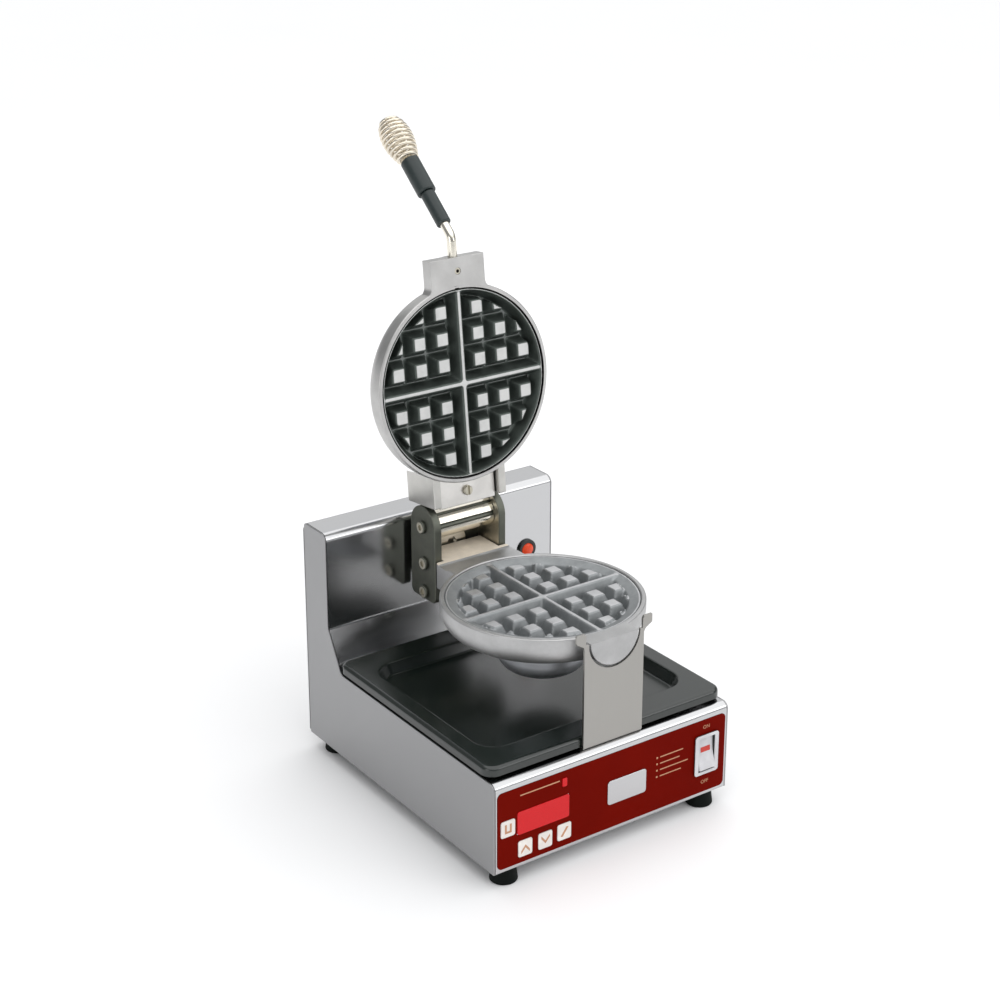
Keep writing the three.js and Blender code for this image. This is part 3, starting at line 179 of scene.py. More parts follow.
class Tree:
    """A node tree that is built by one call for each node."""

    def __init__(self, tree):
        self.tree = tree

    def node(self, kind, settings=None, sockets=None, out=0):
        made = self.tree.nodes.new(kind)
        for name, value in (settings or {}).items():
            setattr(made, name, value)
        for key, value in (sockets or {}).items():
            self.join(value, made.inputs[key])
        return Value(self, made.outputs[out])

    def join(self, value, socket):
        if isinstance(value, Value):
            self.tree.links.new(value.socket, socket)
        elif hasattr(socket.default_value, "__len__") and len(socket.default_value) == 4:
            socket.default_value = (*value[:3], 1)
        else:
            socket.default_value = value


class Finish(Tree):
    """A material with one Principled shader, whose socket names are given as words."""

    def __init__(self, name, colour, roughness, metallic=0.0, **others):
        self.material = bpy.data.materials.new(name)
        self.material.use_nodes = True
        super().__init__(self.material.node_tree)
        self.shader = self.tree.nodes["Principled BSDF"]
        self.set("Base Color", colour)
        self.set("Roughness", roughness)
        self.set("Metallic", metallic)
        for key, value in others.items():
            self.set(key.replace("_", " ").title().replace("Ior", "IOR"), value)

    def set(self, key, value):
        self.join(value, self.shader.inputs[key])

    def spot(self, stretch=(1, 1, 1), frame_of=None):
        """Where the surface is, in metres times stretch, in the housing's or in a unit's frame."""
        place = self.node("ShaderNodeTexCoord", out="Object")
        if frame_of is not None:
            turn = frame_of.to_quaternion().to_euler()
            settings = {"vector_type": "TEXTURE"}
            sockets = {"Vector": place, "Location": frame_of.to_translation(), "Rotation": turn}
            place = self.node("ShaderNodeMapping", settings, sockets)
        return self.node("ShaderNodeMapping", None, {"Vector": place, "Scale": stretch})

    def noise(self, vector, scale, detail, rough):
        sockets = {"Vector": vector, "Scale": scale, "Detail": detail, "Roughness": rough}
        return self.node("ShaderNodeTexNoise", None, sockets)

    def part(self, vector, axis):
        return self.node("ShaderNodeSeparateXYZ", None, {"Vector": vector}, axis)

    def grey(self, value, low, high, dark=0.0, light=1.0):
        """A number that goes from dark to light while value goes from low to high."""
        sockets = {"Value": value, "From Min": low, "From Max": high, "To Min": dark, "To Max": light}
        return self.node("ShaderNodeMapRange", {"clamp": True}, sockets)

    def mix(self, share, first, second):
        sockets = {0: share, 6: first, 7: second}
        return self.node("ShaderNodeMix", {"data_type": "RGBA"}, sockets, 2)

    def bump(self, height, distance, strength):
        sockets = {"Height": height, "Distance": distance, "Strength": strength}
        return self.node("ShaderNodeBump", None, sockets)


def brushed(name, colour, roughness, grain):
    """Rolled steel: fine grain that runs along one axis, under faint smears."""
    steel = Finish(name, colour, roughness, 1.0)
    fine = steel.noise(steel.spot(grain), 1.0, 3.0, 0.6)
    smears = steel.noise(steel.spot((7, 7, 7)), 1.0, 4.0, 0.55)
    steel.set("Roughness", steel.grey(fine, 0.3, 0.7, roughness - 0.02, roughness + 0.03)
              + steel.grey(smears, 0.35, 0.7, -0.02, 0.04))
    dark = tuple(c * 0.93 for c in colour)
    steel.set("Base Color", steel.mix(steel.grey(fine, 0.25, 0.75) * 0.6 + smears * 0.3, dark, colour))
    steel.set("Normal", steel.bump(fine, 0.00001, 0.3))
    return steel.material


def cast(name, colour, roughness, frame_of, depth=0.00008):
    """Satin cast aluminium: sand grain and slow changes of tone."""
    metal = Finish(name, colour, roughness, 1.0)
    place = metal.spot((1, 1, 1), frame_of)
    grain = metal.noise(place, 900, 3.0, 0.6)
    cloud = metal.noise(place, 26, 4.0, 0.6)
    dark = tuple(c * 0.8 for c in colour)
    metal.set("Base Color", metal.mix(metal.grey(cloud, 0.35, 0.68), dark, colour))
    metal.set("Roughness", metal.grey(grain, 0.3, 0.7, roughness - 0.05, roughness + 0.08))
    metal.set("Normal", metal.bump(grain, depth, 0.5))
    return metal.material


def seasoned(name, bare, oil_and_shade, floor, frame_of, worn):
    """Grid casting: flat tops wiped bright, walls dark from baked-on oil and from painted shade, valley
    floors between.
    """
    iron = Finish(name, bare, 0.45, 1.0)
    place = iron.spot((1, 1, 1), frame_of)
    height = iron.part(place, 2)
    cloud = iron.noise(place, 70, 4.0, 0.6)
    grain = iron.noise(place, 1300, 2.0, 0.6)
    up = frame_of.to_3x3().normalized() @ Vector((0, 0, 1))
    facing = iron.node("ShaderNodeVectorMath", {"operation": "DOT_PRODUCT"}, {
        0: iron.node("ShaderNodeTexCoord", out="Normal"), 1: up}, 1)
    flat = iron.grey(facing, 0.955, 0.99)
    high = iron.grey(height + (cloud - 0.5) * 0.002, -9 * MM, -7.4 * MM)
    tops = flat * high * worn
    valleys = flat * (1 - high)
    # Steep walls take a dark tone that is partly baked-on oil and partly painted shade.
    walls = iron.mix(iron.grey(cloud, 0.3, 0.7), oil_and_shade, tuple(c * 1.5 for c in oil_and_shade))
    colour = iron.mix(valleys * 0.8, walls, floor)
    iron.set("Base Color", iron.mix(tops * iron.grey(cloud, 0.2, 0.6, 0.75, 1.0), colour, bare))
    iron.set("Roughness", iron.grey(cloud, 0.3, 0.7, 0.4, 0.55))
    iron.set("Metallic", tops * 0.2 + 0.75)
    iron.set("Normal", iron.bump(grain, 0.0001, 0.5))
    return iron.material


def moulded(name, colour, roughness, texture=0.00005, scale=1400, **others):
    """Moulded plastic or rubber with a fine skin and faint scuffs."""
    plastic = Finish(name, colour, roughness, 0.0, **others)
    place = plastic.spot()
    skin = plastic.noise(place, scale, 2.0, 0.5)
    scuff = plastic.noise(place, 70, 5.0, 0.6)
    light = tuple(min(1, c * 1.18 + 0.004) for c in colour)
    plastic.set("Base Color", plastic.mix(plastic.grey(scuff, 0.45, 0.75), colour, light))
    plastic.set("Roughness", plastic.grey(scuff, 0.3, 0.7, roughness - 0.05, roughness + 0.08))
    plastic.set("Normal", plastic.bump(skin, texture, 0.4))
    return plastic.material


def polished(name, colour, roughness, turn_marks=(60, 2600, 2600)):
    """Turned or drawn bright steel with faint tool marks."""
    bright = Finish(name, colour, roughness, 1.0)
    marks = bright.noise(bright.spot(turn_marks), 1.0, 2.0, 0.5)
    haze = bright.noise(bright.spot(), 60, 3.0, 0.5)
    bright.set("Roughness", bright.grey(haze, 0.35, 0.7, roughness - 0.03, roughness + 0.08))
    dark = tuple(c * 0.88 for c in colour)
    bright.set("Base Color", bright.mix(bright.grey(haze, 0.4, 0.7), colour, dark))
    bright.set("Normal", bright.bump(marks, 0.00002, 0.3))
    return bright.material


def tray_coating():
    """Black hard coating on the pressed tray, with a faint orange peel."""
    light, dark = (0.010, 0.015, 0.013), (0.006, 0.010, 0.008)
    coat = Finish("tray_coating", light, 0.2, 0.0, specular_ior_level=0.75, ior=1.5)
    place = coat.spot()
    peel = coat.noise(place, 420, 2.0, 0.5)
    cloud = coat.noise(place, 9, 3.0, 0.5)
    coat.set("Base Color", coat.mix(coat.grey(cloud, 0.3, 0.7), dark, light))
    coat.set("Roughness", coat.grey(cloud, 0.3, 0.75, 0.2, 0.27))
    coat.set("Normal", coat.bump(peel, 0.00002, 0.25))
    return coat.material


def red_film():
    """Dark red printed film with a faint orange peel."""
    light, dark = (0.162, 0.0032, 0.0003), (0.142, 0.0026, 0.0002)
    film = Finish("panel_film", light, 0.5, 0.0, specular_ior_level=0.02)
    place = film.spot()
    peel = film.noise(place, 700, 2.0, 0.5)
    cloud = film.noise(place, 18, 3.0, 0.5)
    film.set("Base Color", film.mix(film.grey(cloud, 0.3, 0.7), dark, light))
    film.set("Roughness", film.grey(peel, 0.3, 0.7, 0.44, 0.54))
    film.set("Normal", film.bump(peel, 0.00003, 0.3))
    return film.material


def lit(name, colour, glow, strength):
    """A clear coloured lens with light behind it and fine specks in it."""
    lens = Finish(name, colour, 0.25, 0.0, specular_ior_level=0.3)
    speck = lens.noise(lens.spot(), 900, 2.0, 0.5)
    share = lens.grey(speck, 0.3, 0.7)
    lens.set("Base Color", lens.mix(share, colour, tuple(c * 0.85 for c in colour)))
    lens.set("Emission Color", lens.mix(share, glow, tuple(c * 0.9 for c in glow)))
    lens.shader.inputs["Emission Strength"].default_value = strength
    lens.set("Normal", lens.bump(speck, 0.00003, 0.2))
    return lens.material


def circuit(name, colour, copper):
    """Circuit board with etched tracks."""
    board = Finish(name, colour, 0.45, 0.0)
    tracks = board.node("ShaderNodeTexWave", {"wave_type": "BANDS", "bands_direction": "DIAGONAL"},
                        {"Vector": board.spot(), "Scale": 160, "Distortion": 6, "Detail": 1}, 1)
    board.set("Base Color", board.mix(board.grey(tracks, 0.72, 0.8), colour, copper))
    board.set("Normal", board.bump(tracks, 0.00003, 0.3))
    return board.material


STEEL = brushed("deck_steel", (0.57, 0.572, 0.58), 0.17, (7, 1500, 1500))
# The panels' steel is darker than the deck's. The difference is painted shade for panels that face sideways
# and back, away from the overhead light.
PANEL_SHADED = brushed("panel_steel_painted_shade", (0.36, 0.36, 0.365), 0.42, (1500, 9, 1500))
STRIP = brushed("cradle_steel", (0.38, 0.37, 0.35), 0.32, (1300, 1300, 8))
LOWER_CAST = cast("lower_casting", (0.53, 0.53, 0.53), 0.45, LOWER)
UPPER_CAST = cast("upper_casting", (0.60, 0.595, 0.585), 0.4, UPPER)
ARM_CAST = cast("arm_casting", (0.66, 0.65, 0.62), 0.34, LID)
# The yoke's dark olive tone is painted shade: the ears sit in shadow under the bowls and the lid's arm. The
# same tone paints shade in the barrel's grooves and on the pin heads' outer rims.
SHADED_YOKE = cast("yoke_casting_painted_shade", (0.165, 0.172, 0.145), 0.45, HOUSING, 0.00012)
# The upper grid's walls are painted far darker than the lower grid's, as shade: with the lid open they face
# forward and down, away from the overhead light.
LOWER_GRID = seasoned("lower_grid_casting", (0.62, 0.62, 0.63), (0.23, 0.24, 0.245),
                      (0.27, 0.275, 0.28), LOWER, 0.85)
UPPER_GRID = seasoned("upper_grid_casting", (0.74, 0.74, 0.73), (0.075, 0.088, 0.080),
                      (0.23, 0.24, 0.235), UPPER, 0.9)
BRIGHT = polished("bright_steel", (0.86, 0.82, 0.72), 0.16)
# The machined pad's bright cream non-metal colour is painted light: it stands in for the polished face's
# reflection and makes up for the shade the lid casts on it.
PAD_PAINTED_LIGHT = moulded("machined_pad_painted_light", (0.74, 0.66, 0.55), 0.42)
DULL = polished("dull_steel", (0.58, 0.55, 0.46), 0.36)
NICKEL = polished("handle_nickel", (0.84, 0.77, 0.65), 0.26, (700, 700, 700))
TRAY = tray_coating()
FILM = red_film()
WINDOW = lit("display_red", (0.50, 0.003, 0.006), (0.75, 0.008, 0.014), 0.25)
LAMP = lit("lamp_red", (0.62, 0.06, 0.02), (0.9, 0.09, 0.03), 0.3)
CUP = cast("cup_casting", (0.53, 0.545, 0.57), 0.5, HOUSING)
LUG_FACE = cast("lug_face", (0.84, 0.82, 0.79), 0.36, HOUSING, 0.00003)
KEYS = moulded("key_plastic", (0.80, 0.76, 0.72), 0.4)
SWITCH = moulded("switch_plastic", (0.60, 0.60, 0.62), 0.35)
BLACK = moulded("black_plastic", (0.018, 0.021, 0.020), 0.35)
SLEEVE = moulded("sleeve_plastic", (0.020, 0.029, 0.029), 0.38)
RUBBER = moulded("foot_rubber", (0.002, 0.004, 0.003), 0.62, 0.00012, 800, specular_ior_level=0.12)
PRINT = moulded("panel_print", (0.52, 0.26, 0.14), 0.5)
RED_PRINT = moulded("red_print", (0.55, 0.035, 0.02), 0.45)
CERAMIC = moulded("terminal_ceramic", (0.78, 0.74, 0.62), 0.55)
CORE = polished("core_steel", (0.09, 0.08, 0.075), 0.45, (900, 900, 900))
BOARD = circuit("board_green", (0.03, 0.15, 0.05), (0.06, 0.24, 0.08))


# Drawing


def rounded(corners, closed=True, step=math.radians(9)):
    """A line through corners (x, y) or (x, y, radius), where each radius becomes an arc."""
    line = []
    for i, corner in enumerate(corners):
        here = Vector(corner[:2])
        radius = corner[2] if len(corner) > 2 else 0
        if not radius or (not closed and i in (0, len(corners) - 1)):
            line.append(here)
            continue
        back = (Vector(corners[i - 1][:2]) - here).normalized()
        on = (Vector(corners[(i + 1) % len(corners)][:2]) - here).normalized()
        half = back.angle(on) / 2
        centre = here + (back + on).normalized() * (radius / math.sin(half))
        start = here + back * (radius / math.tan(half)) - centre
        end = here + on * (radius / math.tan(half)) - centre
        turn = math.atan2(start.x * end.y - start.y * end.x, start.dot(end))
        steps = max(2, round(abs(turn) / step))
        for k in range(steps + 1):
            line.append(centre + Matrix.Rotation(turn * k / steps, 2) @ start)
    return line


def box_line(left, right, low, high, radius=0):
    return rounded([(x, z, radius) for x, z in ((left, low), (right, low), (right, high), (left, high))])


def middle_box(x, y, width, height, radius=0):
    return box_line(x - width / 2, x + width / 2, y - height / 2, y + height / 2, radius)


def arc(x, y, radius, start, end, steps):
    """Points on an arc, with its angles in degrees."""
    turns = [math.radians(start + (end - start) * i / steps) for i in range(steps + 1)]
    return [Vector((x + radius * math.cos(a), y + radius * math.sin(a))) for a in turns]


def bent_sheet(corners, thickness):
    """The closed section of a sheet that follows corners (x, y, bend radius), with its other face
    to the right of the running direction."""
    other = []
    for i, corner in enumerate(corners):
        here = Vector(corner[:2])
        before = (here - Vector(corners[max(i - 1, 0)][:2])).normalized()
        after = (Vector(corners[min(i + 1, len(corners) - 1)][:2]) - here).normalized()
        before = before if i else after
        after = after if i < len(corners) - 1 else before
        first, second = Vector((before.y, -before.x)), Vector((after.y, -after.x))
        move = (first + second) / (1 + first.dot(second)) * thickness
        turn = before.x * after.y - before.y * after.x
        radius = corner[2] if len(corner) > 2 else 0
        inner = max(0.2, radius + math.copysign(thickness, turn)) if radius else 0
        other.append((*(here + move), inner))
    return rounded(corners, False) + rounded(other, False)[::-1]


def shape_of(points, faces):
    shape = bmesh.new()
    made = [shape.verts.new(p) for p in points]
    for face in faces:
        if len(set(face)) > 2:
            shape.faces.new([made[i] for i in face])
    return shape


def prism(view, outline, low, high):
    """A straight-sided solid of an outline, from low to high along the third axis."""
    count = len(outline)
    points = [VIEWS[view] @ Vector((p.x, p.y, z)) for z in (low, high) for p in outline]
    sides = [(i, (i + 1) % count, (i + 1) % count + count, i + count) for i in range(count)]
    ends = [tuple(range(count))[::-1], tuple(range(count, 2 * count))]
    return shape_of(points, sides + ends)


def slab(view, outline, low, high, holes=(), edge=0.4, steps=2):
    """A plate with rounded edges and holes, cut from an outline."""
    curve = bpy.data.curves.new("outline", "CURVE")
    curve.dimensions = "2D"
    curve.fill_mode = "BOTH"
    for k, line in enumerate([outline, *holes]):
        area = sum(a.x * b.y - a.y * b.x for a, b in zip(line, line[1:] + line[:1]))
        line = line if (area > 0) == (k == 0) else line[::-1]
        spline = curve.splines.new("POLY")
        spline.points.add(len(line) - 1)
        for spot, p in zip(spline.points, line):
            spot.co = (p.x, p.y, 0, 1)
        spline.use_cyclic_u = True
    curve.extrude = (high - low) / 2 - edge
    curve.bevel_depth = edge
    curve.bevel_resolution = steps
    curve.offset = -edge
    shape = evaluated(bpy.data.objects.new("outline", curve))
    bmesh.ops.remove_doubles(shape, verts=shape.verts, dist=0.002)
    lie = VIEWS[view] @ Matrix.Translation((0, 0, (low + high) / 2))
    bmesh.ops.transform(shape, verts=shape.verts, matrix=lie)
    return shape


def turned(profile, axis="z", centre=(0, 0, 0), sides=96):
    """A closed profile of (radius, height) turned about an axis."""
    view = {"z": "plan", "y": "front", "x": "side"}[axis]
    points, rings = [], []
    for radius, height in (p[:2] for p in profile):
        ring = []
        for k in range(sides if radius > 1e-6 else 1):
            angle = 2 * math.pi * k / sides
            points.append(Vector((radius * math.cos(angle), radius * math.sin(angle), height)))
            ring.append(len(points) - 1)
        rings.append(ring)
    faces = []
    for i, ring in enumerate(rings):
        following = rings[(i + 1) % len(rings)]
        if len(ring) == len(following) == 1:
            continue
        for k in range(sides):
            a, b = ring[k % len(ring)], ring[(k + 1) % len(ring)]
            c, d = following[(k + 1) % len(following)], following[k % len(following)]
            faces.append(tuple(dict.fromkeys((a, b, c, d))))
    shape = shape_of(points, faces)
    bmesh.ops.transform(shape, verts=shape.verts, matrix=Matrix.Translation(centre) @ VIEWS[view])
    return shape


def skin(rings):
    """Rings with the same number of points, joined one to the next, with a face over each end."""
    count = len(rings[0])
    points = [p for ring in rings for p in ring]
    faces = []
    for start in range(0, len(points) - count, count):
        for i in range(count):
            j = (i + 1) % count
            faces.append((start + i, start + j, start + count + j, start + count + i))
    faces += [tuple(range(count)), tuple(range(len(points) - count, len(points)))]
    return shape_of(points, faces)


def wire(points, radius):
    """A round wire through points, with flat ends."""
    curve = bpy.data.curves.new("wire", "CURVE")
    curve.dimensions = "3D"
    spline = curve.splines.new("POLY")
    spline.points.add(len(points) - 1)
    for spot, p in zip(spline.points, points):
        spot.co = (*p, 1)
    curve.bevel_depth = radius
    curve.bevel_resolution = 10
    curve.use_fill_caps = True
    shape = evaluated(bpy.data.objects.new("wire", curve))
    bmesh.ops.remove_doubles(shape, verts=shape.verts, dist=0.001)
    return shape


def scrap(shape):
    """A short-lived object that holds a shape."""
    mesh = bpy.data.meshes.new("scrap")
    shape.to_mesh(mesh)
    shape.free()
    return bpy.data.objects.new("scrap", mesh)


def evaluated(obj, *helpers):
    """The shape of an object with its modifiers applied. The object and its helpers are removed."""
    for thing in (obj, *helpers):
        bpy.context.scene.collection.objects.link(thing)
    bpy.context.view_layer.update()
    graph = bpy.context.evaluated_depsgraph_get()
    mesh = bpy.data.meshes.new_from_object(obj.evaluated_get(graph))
    shape = bmesh.new()
    shape.from_mesh(mesh)
    for thing in (obj, *helpers):
        bpy.data.objects.remove(thing)
    bpy.data.meshes.remove(mesh)
    return shape


def in_scene(name, data):
    made = bpy.data.objects.new(name, data)
    bpy.context.scene.collection.objects.link(made)
    return made


def facing_out(shape):
    bmesh.ops.recalc_face_normals(shape, faces=shape.faces)
    return shape


def boolean(operation, first, others):
    base = scrap(facing_out(first))
    tools = [scrap(facing_out(other)) for other in others]
    for tool in tools:
        step = base.modifiers.new("step", "BOOLEAN")
        step.operation = operation
        step.solver = "EXACT"
        step.object = tool
    return evaluated(base, *tools)


def join(first, *others):
    return boolean("UNION", first, others)


def cut(first, *others):
    return boolean("DIFFERENCE", first, others)


def overlap(first, *others):
    return boolean("INTERSECT", first, others)


def eased(shape, width):
    """The same solid with its sharp edges rounded off."""
    obj = scrap(facing_out(shape))
    bevel = obj.modifiers.new("ease", "BEVEL")
    bevel.width = width
    bevel.segments = 2
    bevel.limit_method = "ANGLE"
    bevel.angle_limit = math.radians(30)
    return evaluated(obj)


def as_cast(shape, voxel, passes):
    """The same solid as a casting: one skin with soft corners and fillets."""
    obj = scrap(facing_out(shape))
    remesh = obj.modifiers.new("skin", "REMESH")
    remesh.mode = "VOXEL"
    remesh.voxel_size = voxel
    smooth = obj.modifiers.new("soften", "SMOOTH")
    smooth.factor = 0.5
    smooth.iterations = passes
    return evaluated(obj)


def gathered(shapes):
    """Shapes put together in one, without being cut."""
    whole = bmesh.new()
    for shape in shapes:
        mesh = bpy.data.meshes.new("gathered")
        facing_out(shape).to_mesh(mesh)
        shape.free()
        whole.from_mesh(mesh)
        bpy.data.meshes.remove(mesh)
    return whole


def piece(name, shape, place, look, body, replaced=None, sharp=35, others=(), where=None):
    """Puts a shape in the scene as a finished piece that rides on a body. Where takes the middle of
    a face and its normal and says how it looks: 0 for look, 1 for the first of the others, and on."""
    bmesh.ops.remove_doubles(shape, verts=shape.verts, dist=0.0005)
    bmesh.ops.dissolve_degenerate(shape, edges=shape.edges, dist=0.0005)
    facing_out(shape)
    if where:
        for face in shape.faces:
            face.material_index = int(where(face.calc_center_median(), face.normal))
    bmesh.ops.transform(shape, verts=shape.verts, matrix=place)
    if place.determinant() < 0:
        bmesh.ops.reverse_faces(shape, faces=shape.faces)
    mesh = bpy.data.meshes.new(name)
    shape.to_mesh(mesh)
    shape.free()
    for finish in (look, *others):
        mesh.materials.append(finish)
    mesh.shade_smooth()
    mesh.set_sharp_from_angle(angle=math.radians(sharp))
    made = in_scene(name, mesh)
    weigh = made.modifiers.new("weigh", "WEIGHTED_NORMAL")
    weigh.keep_sharp = True
    bpy.context.view_layer.update()
    graph = bpy.context.evaluated_depsgraph_get()
    flat = bpy.data.meshes.new_from_object(made.evaluated_get(graph), depsgraph=graph)
    made.modifiers.clear()
    made.data = flat
    made.data.name = name
    bpy.data.meshes.remove(mesh)
    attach(made, body)
    if replaced:
        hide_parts(replaced)


# Geometry node trees for what repeats or follows a rule


class Rule(Tree):
    """A geometry node tree with named inputs, run on an empty mesh."""

    def __init__(self, name, inputs):
        group = bpy.data.node_groups.new(name, "GeometryNodeTree")
        super().__init__(group)
        self.group = group
        group.interface.new_socket("Geometry", in_out="OUTPUT", socket_type="NodeSocketGeometry")
        group.interface.new_socket("Geometry", in_out="INPUT", socket_type="NodeSocketGeometry")
        self.sizes = inputs
        for key, value in inputs.items():
            kind = "NodeSocketInt" if isinstance(value, int) else "NodeSocketFloat"
            group.interface.new_socket(key, in_out="INPUT", socket_type=kind)
        self.source = group.nodes.new("NodeGroupInput")

    def given(self, key):
        return Value(self, self.source.outputs[key])

    def vector(self, x, y, z):
        return self.node("ShaderNodeCombineXYZ", None, {0: x, 1: y, 2: z})

    def run(self, result, look):
        """Ends the tree, runs it with its inputs and gives the shape."""
        solid = self.node("GeometryNodeRealizeInstances", None, {0: result})
        solid = self.node("GeometryNodeSetMaterial", None, {0: solid, "Material": look})
        end = self.group.nodes.new("NodeGroupOutput")
        self.join(solid, end.inputs[0])
        obj = bpy.data.objects.new("rule", bpy.data.meshes.new("rule"))
        step = obj.modifiers.new("rule", "NODES")
        step.node_group = self.group
        for item in self.group.interface.items_tree:
            if item.in_out == "INPUT" and item.name in self.sizes:
                step[item.identifier] = self.sizes[item.name]
        return evaluated(obj)


def pyramid_rows(look):
    """Rows of truncated pyramids in four quarters, left out where the round wall stands."""
    rule = Rule("pyramid_rows", {"Pitch": 25.0, "First": 20.0, "Base": 22.0, "Top": 13.2, "Rise": 12.4,
                                 "Reach": 85.1, "Rows": 6, "Floor": -VALLEY - ROOT, "Root": ROOT})
    pitch = rule.given("Pitch")
    rows = rule.given("Rows")
    span = pitch * (rows - 1)
    spread = rule.node("GeometryNodeMeshGrid", None, {0: span, 1: span, 2: rows, 3: rows})
    place = rule.node("GeometryNodeInputPosition")
    x = rule.node("ShaderNodeSeparateXYZ", None, {0: place}, 0)
    y = rule.node("ShaderNodeSeparateXYZ", None, {0: place}, 1)
    apart = rule.given("First") - pitch * 0.5
    moved = rule.vector(x + x.maths("SIGN") * apart, y + y.maths("SIGN") * apart, rule.given("Floor"))
    spread = rule.node("GeometryNodeSetPosition", None, {"Geometry": spread, "Position": moved})
    half_top = rule.given("Top") * 0.5
    near_x = x.size() - half_top
    near_y = y.size() - half_top
    far = (near_x * near_x + near_y * near_y).maths("SQRT").maths("GREATER_THAN", rule.given("Reach"))
    spread = rule.node("GeometryNodeDeleteGeometry", {"domain": "POINT"}, {
        "Geometry": spread, "Selection": far})
    corner = math.sqrt(0.5)
    slope = (rule.given("Base") - rule.given("Top")) / rule.given("Rise")
    foot = rule.given("Base") + slope * rule.given("Root")
    pyramid = rule.node("GeometryNodeMeshCone", {"fill_type": "NGON"}, {
        "Vertices": 4, "Side Segments": 1, "Radius Top": rule.given("Top") * corner,
        "Radius Bottom": foot * corner, "Depth": rule.given("Rise") + rule.given("Root")})
    pyramid = rule.node("GeometryNodeTransform", None, {
        "Geometry": pyramid, "Rotation": (0, 0, math.pi / 4)})
    placed = rule.node("GeometryNodeInstanceOnPoints", None, {"Points": spread, "Instance": pyramid})
    return rule.run(placed, look)


def slotted_panel(look):
    """Rear panel: a rounded outline with a row of slots and a round hole, filled and thickened."""
    base, height, thickness = 38, 42.0, 1.2
    rule = Rule("slotted_panel", {"Width": 2.0 * SIDE, "Height": PANEL_TOP - FOOT, "Corner": 4.0,
                                  "Slot Width": 3.0, "Slot Height": height, "Pitch": 9.0, "Slots": 12,
                                  "Sheet": thickness})
    outline = rule.node("GeometryNodeCurvePrimitiveQuadrilateral", None, {
        "Width": rule.given("Width"), "Height": rule.given("Height")})
    outline = rule.node("GeometryNodeFilletCurve", {"mode": "POLY"}, {
        "Curve": outline, "Count": 6, "Radius": rule.given("Corner"), "Limit Radius": True})
    slot = rule.node("GeometryNodeCurvePrimitiveQuadrilateral", None, {
        "Width": rule.given("Slot Width"), "Height": rule.given("Slot Height")})
    slot = rule.node("GeometryNodeFilletCurve", {"mode": "POLY"}, {
        "Curve": slot, "Count": 6, "Radius": rule.given("Slot Width") * 0.49, "Limit Radius": True})
    offset = rule.vector(rule.given("Pitch") * -1.0, 0.0, 0.0)
    middle_z = (FOOT + PANEL_TOP) / 2
    start = rule.vector(rule.given("Pitch") * -0.5, base + height / 2 - middle_z, 0.0)
    row = rule.node("GeometryNodeMeshLine", None, {
        "Count": rule.given("Slots"), "Start Location": start, "Offset": offset})
    slots = rule.node("GeometryNodeInstanceOnPoints", None, {"Points": row, "Instance": slot})
    hole = rule.node("GeometryNodeCurvePrimitiveCircle", None, {
        "Resolution": 48, "Radius": INLET_RADIUS + SEAM})
    hole = rule.node("GeometryNodeTransform", None, {
        "Geometry": hole, "Translation": (INLET_SPOT[0], INLET_SPOT[1] - middle_z, 0)})
    joined = rule.tree.nodes.new("GeometryNodeJoinGeometry")
    for line in (hole, slots, outline):
        rule.join(line, joined.inputs[0])
    flat = rule.node("GeometryNodeRealizeInstances", None, {0: Value(rule, joined.outputs[0])})
    flat = rule.node("GeometryNodeFillCurve", {"mode": "TRIANGLES"}, {"Curve": flat})
    thick = rule.tree.nodes.new("GeometryNodeExtrudeMesh")
    thick.inputs["Individual"].default_value = False
    rule.join(flat, thick.inputs["Mesh"])
    rule.join(rule.given("Sheet"), thick.inputs["Offset Scale"])
    back = rule.node("GeometryNodeFlipFaces", None, {"Mesh": flat})
    both = rule.tree.nodes.new("GeometryNodeJoinGeometry")
    rule.join(back, both.inputs[0])
    rule.join(Value(rule, thick.outputs[0]), both.inputs[0])
    merged = rule.node("GeometryNodeMergeByDistance", None, {
        "Geometry": Value(rule, both.outputs[0]), "Distance": 0.001})
    shape = rule.run(merged, look)
    lie = VIEWS["front"] @ Matrix.Translation((0, middle_z, 0))
    bmesh.ops.transform(shape, verts=shape.verts, matrix=Matrix.Translation((0, REAR, 0)) @ lie)
    low = min(v.co.y for v in shape.verts)
    bmesh.ops.translate(shape, verts=shape.verts, vec=(0, REAR - thickness - low, 0))
    return shape


def beehive_spring(look):
    """The cool grip: one wire on a helix whose radius rises from the sleeve and closes at the tip."""
    rule = Rule("beehive_spring", {"Wire": 3.4, "Length": 51.0, "Start": 90.5, "Foot Radius": 8.6,
                                   "Belly Radius": 13.8, "Tip Radius": 3.6, "Peak": 0.52, "Curls": 10.0,
                                   "Points": 481})
    points = rule.given("Points")
    line = rule.node("GeometryNodeCurvePrimitiveLine", None, {"End": (0, 0, 1)})
    line = rule.node("GeometryNodeResampleCurve", None, {"Curve": line, "Count": points})
    share = rule.node("GeometryNodeInputIndex") / (points - 1)
    quarter = math.pi / 2
    climb = ((share / rule.given("Peak")).least(1) * quarter).maths("SINE")
    fall = ((share - rule.given("Peak")) / (1 - rule.given("Peak"))).most(0)
    closing = 1 - (1 - fall * fall).most(0).maths("SQRT")
    foot, belly, tip = rule.given("Foot Radius"), rule.given("Belly Radius"), rule.given("Tip Radius")
    radius = foot + (belly - foot) * climb - (belly - tip) * closing
    angle = share * rule.given("Curls") * (4 * quarter)
    wire_size = rule.given("Wire")
    rise = rule.given("Start") + wire_size * 0.5 + share * (rule.given("Length") - wire_size - SEAM)
    place = rule.vector(radius * angle.maths("COSINE"), radius * angle.maths("SINE") * -1, rise)
    coil = rule.node("GeometryNodeSetPosition", None, {"Geometry": line, "Position": place})
    section = rule.node("GeometryNodeCurvePrimitiveCircle", None, {
        "Resolution": 14, "Radius": wire_size * 0.5})
    solid = rule.node("GeometryNodeCurveToMesh", None, {
        "Curve": coil, "Profile Curve": section, "Fill Caps": True})
    return rule.run(solid, look)


# The housing

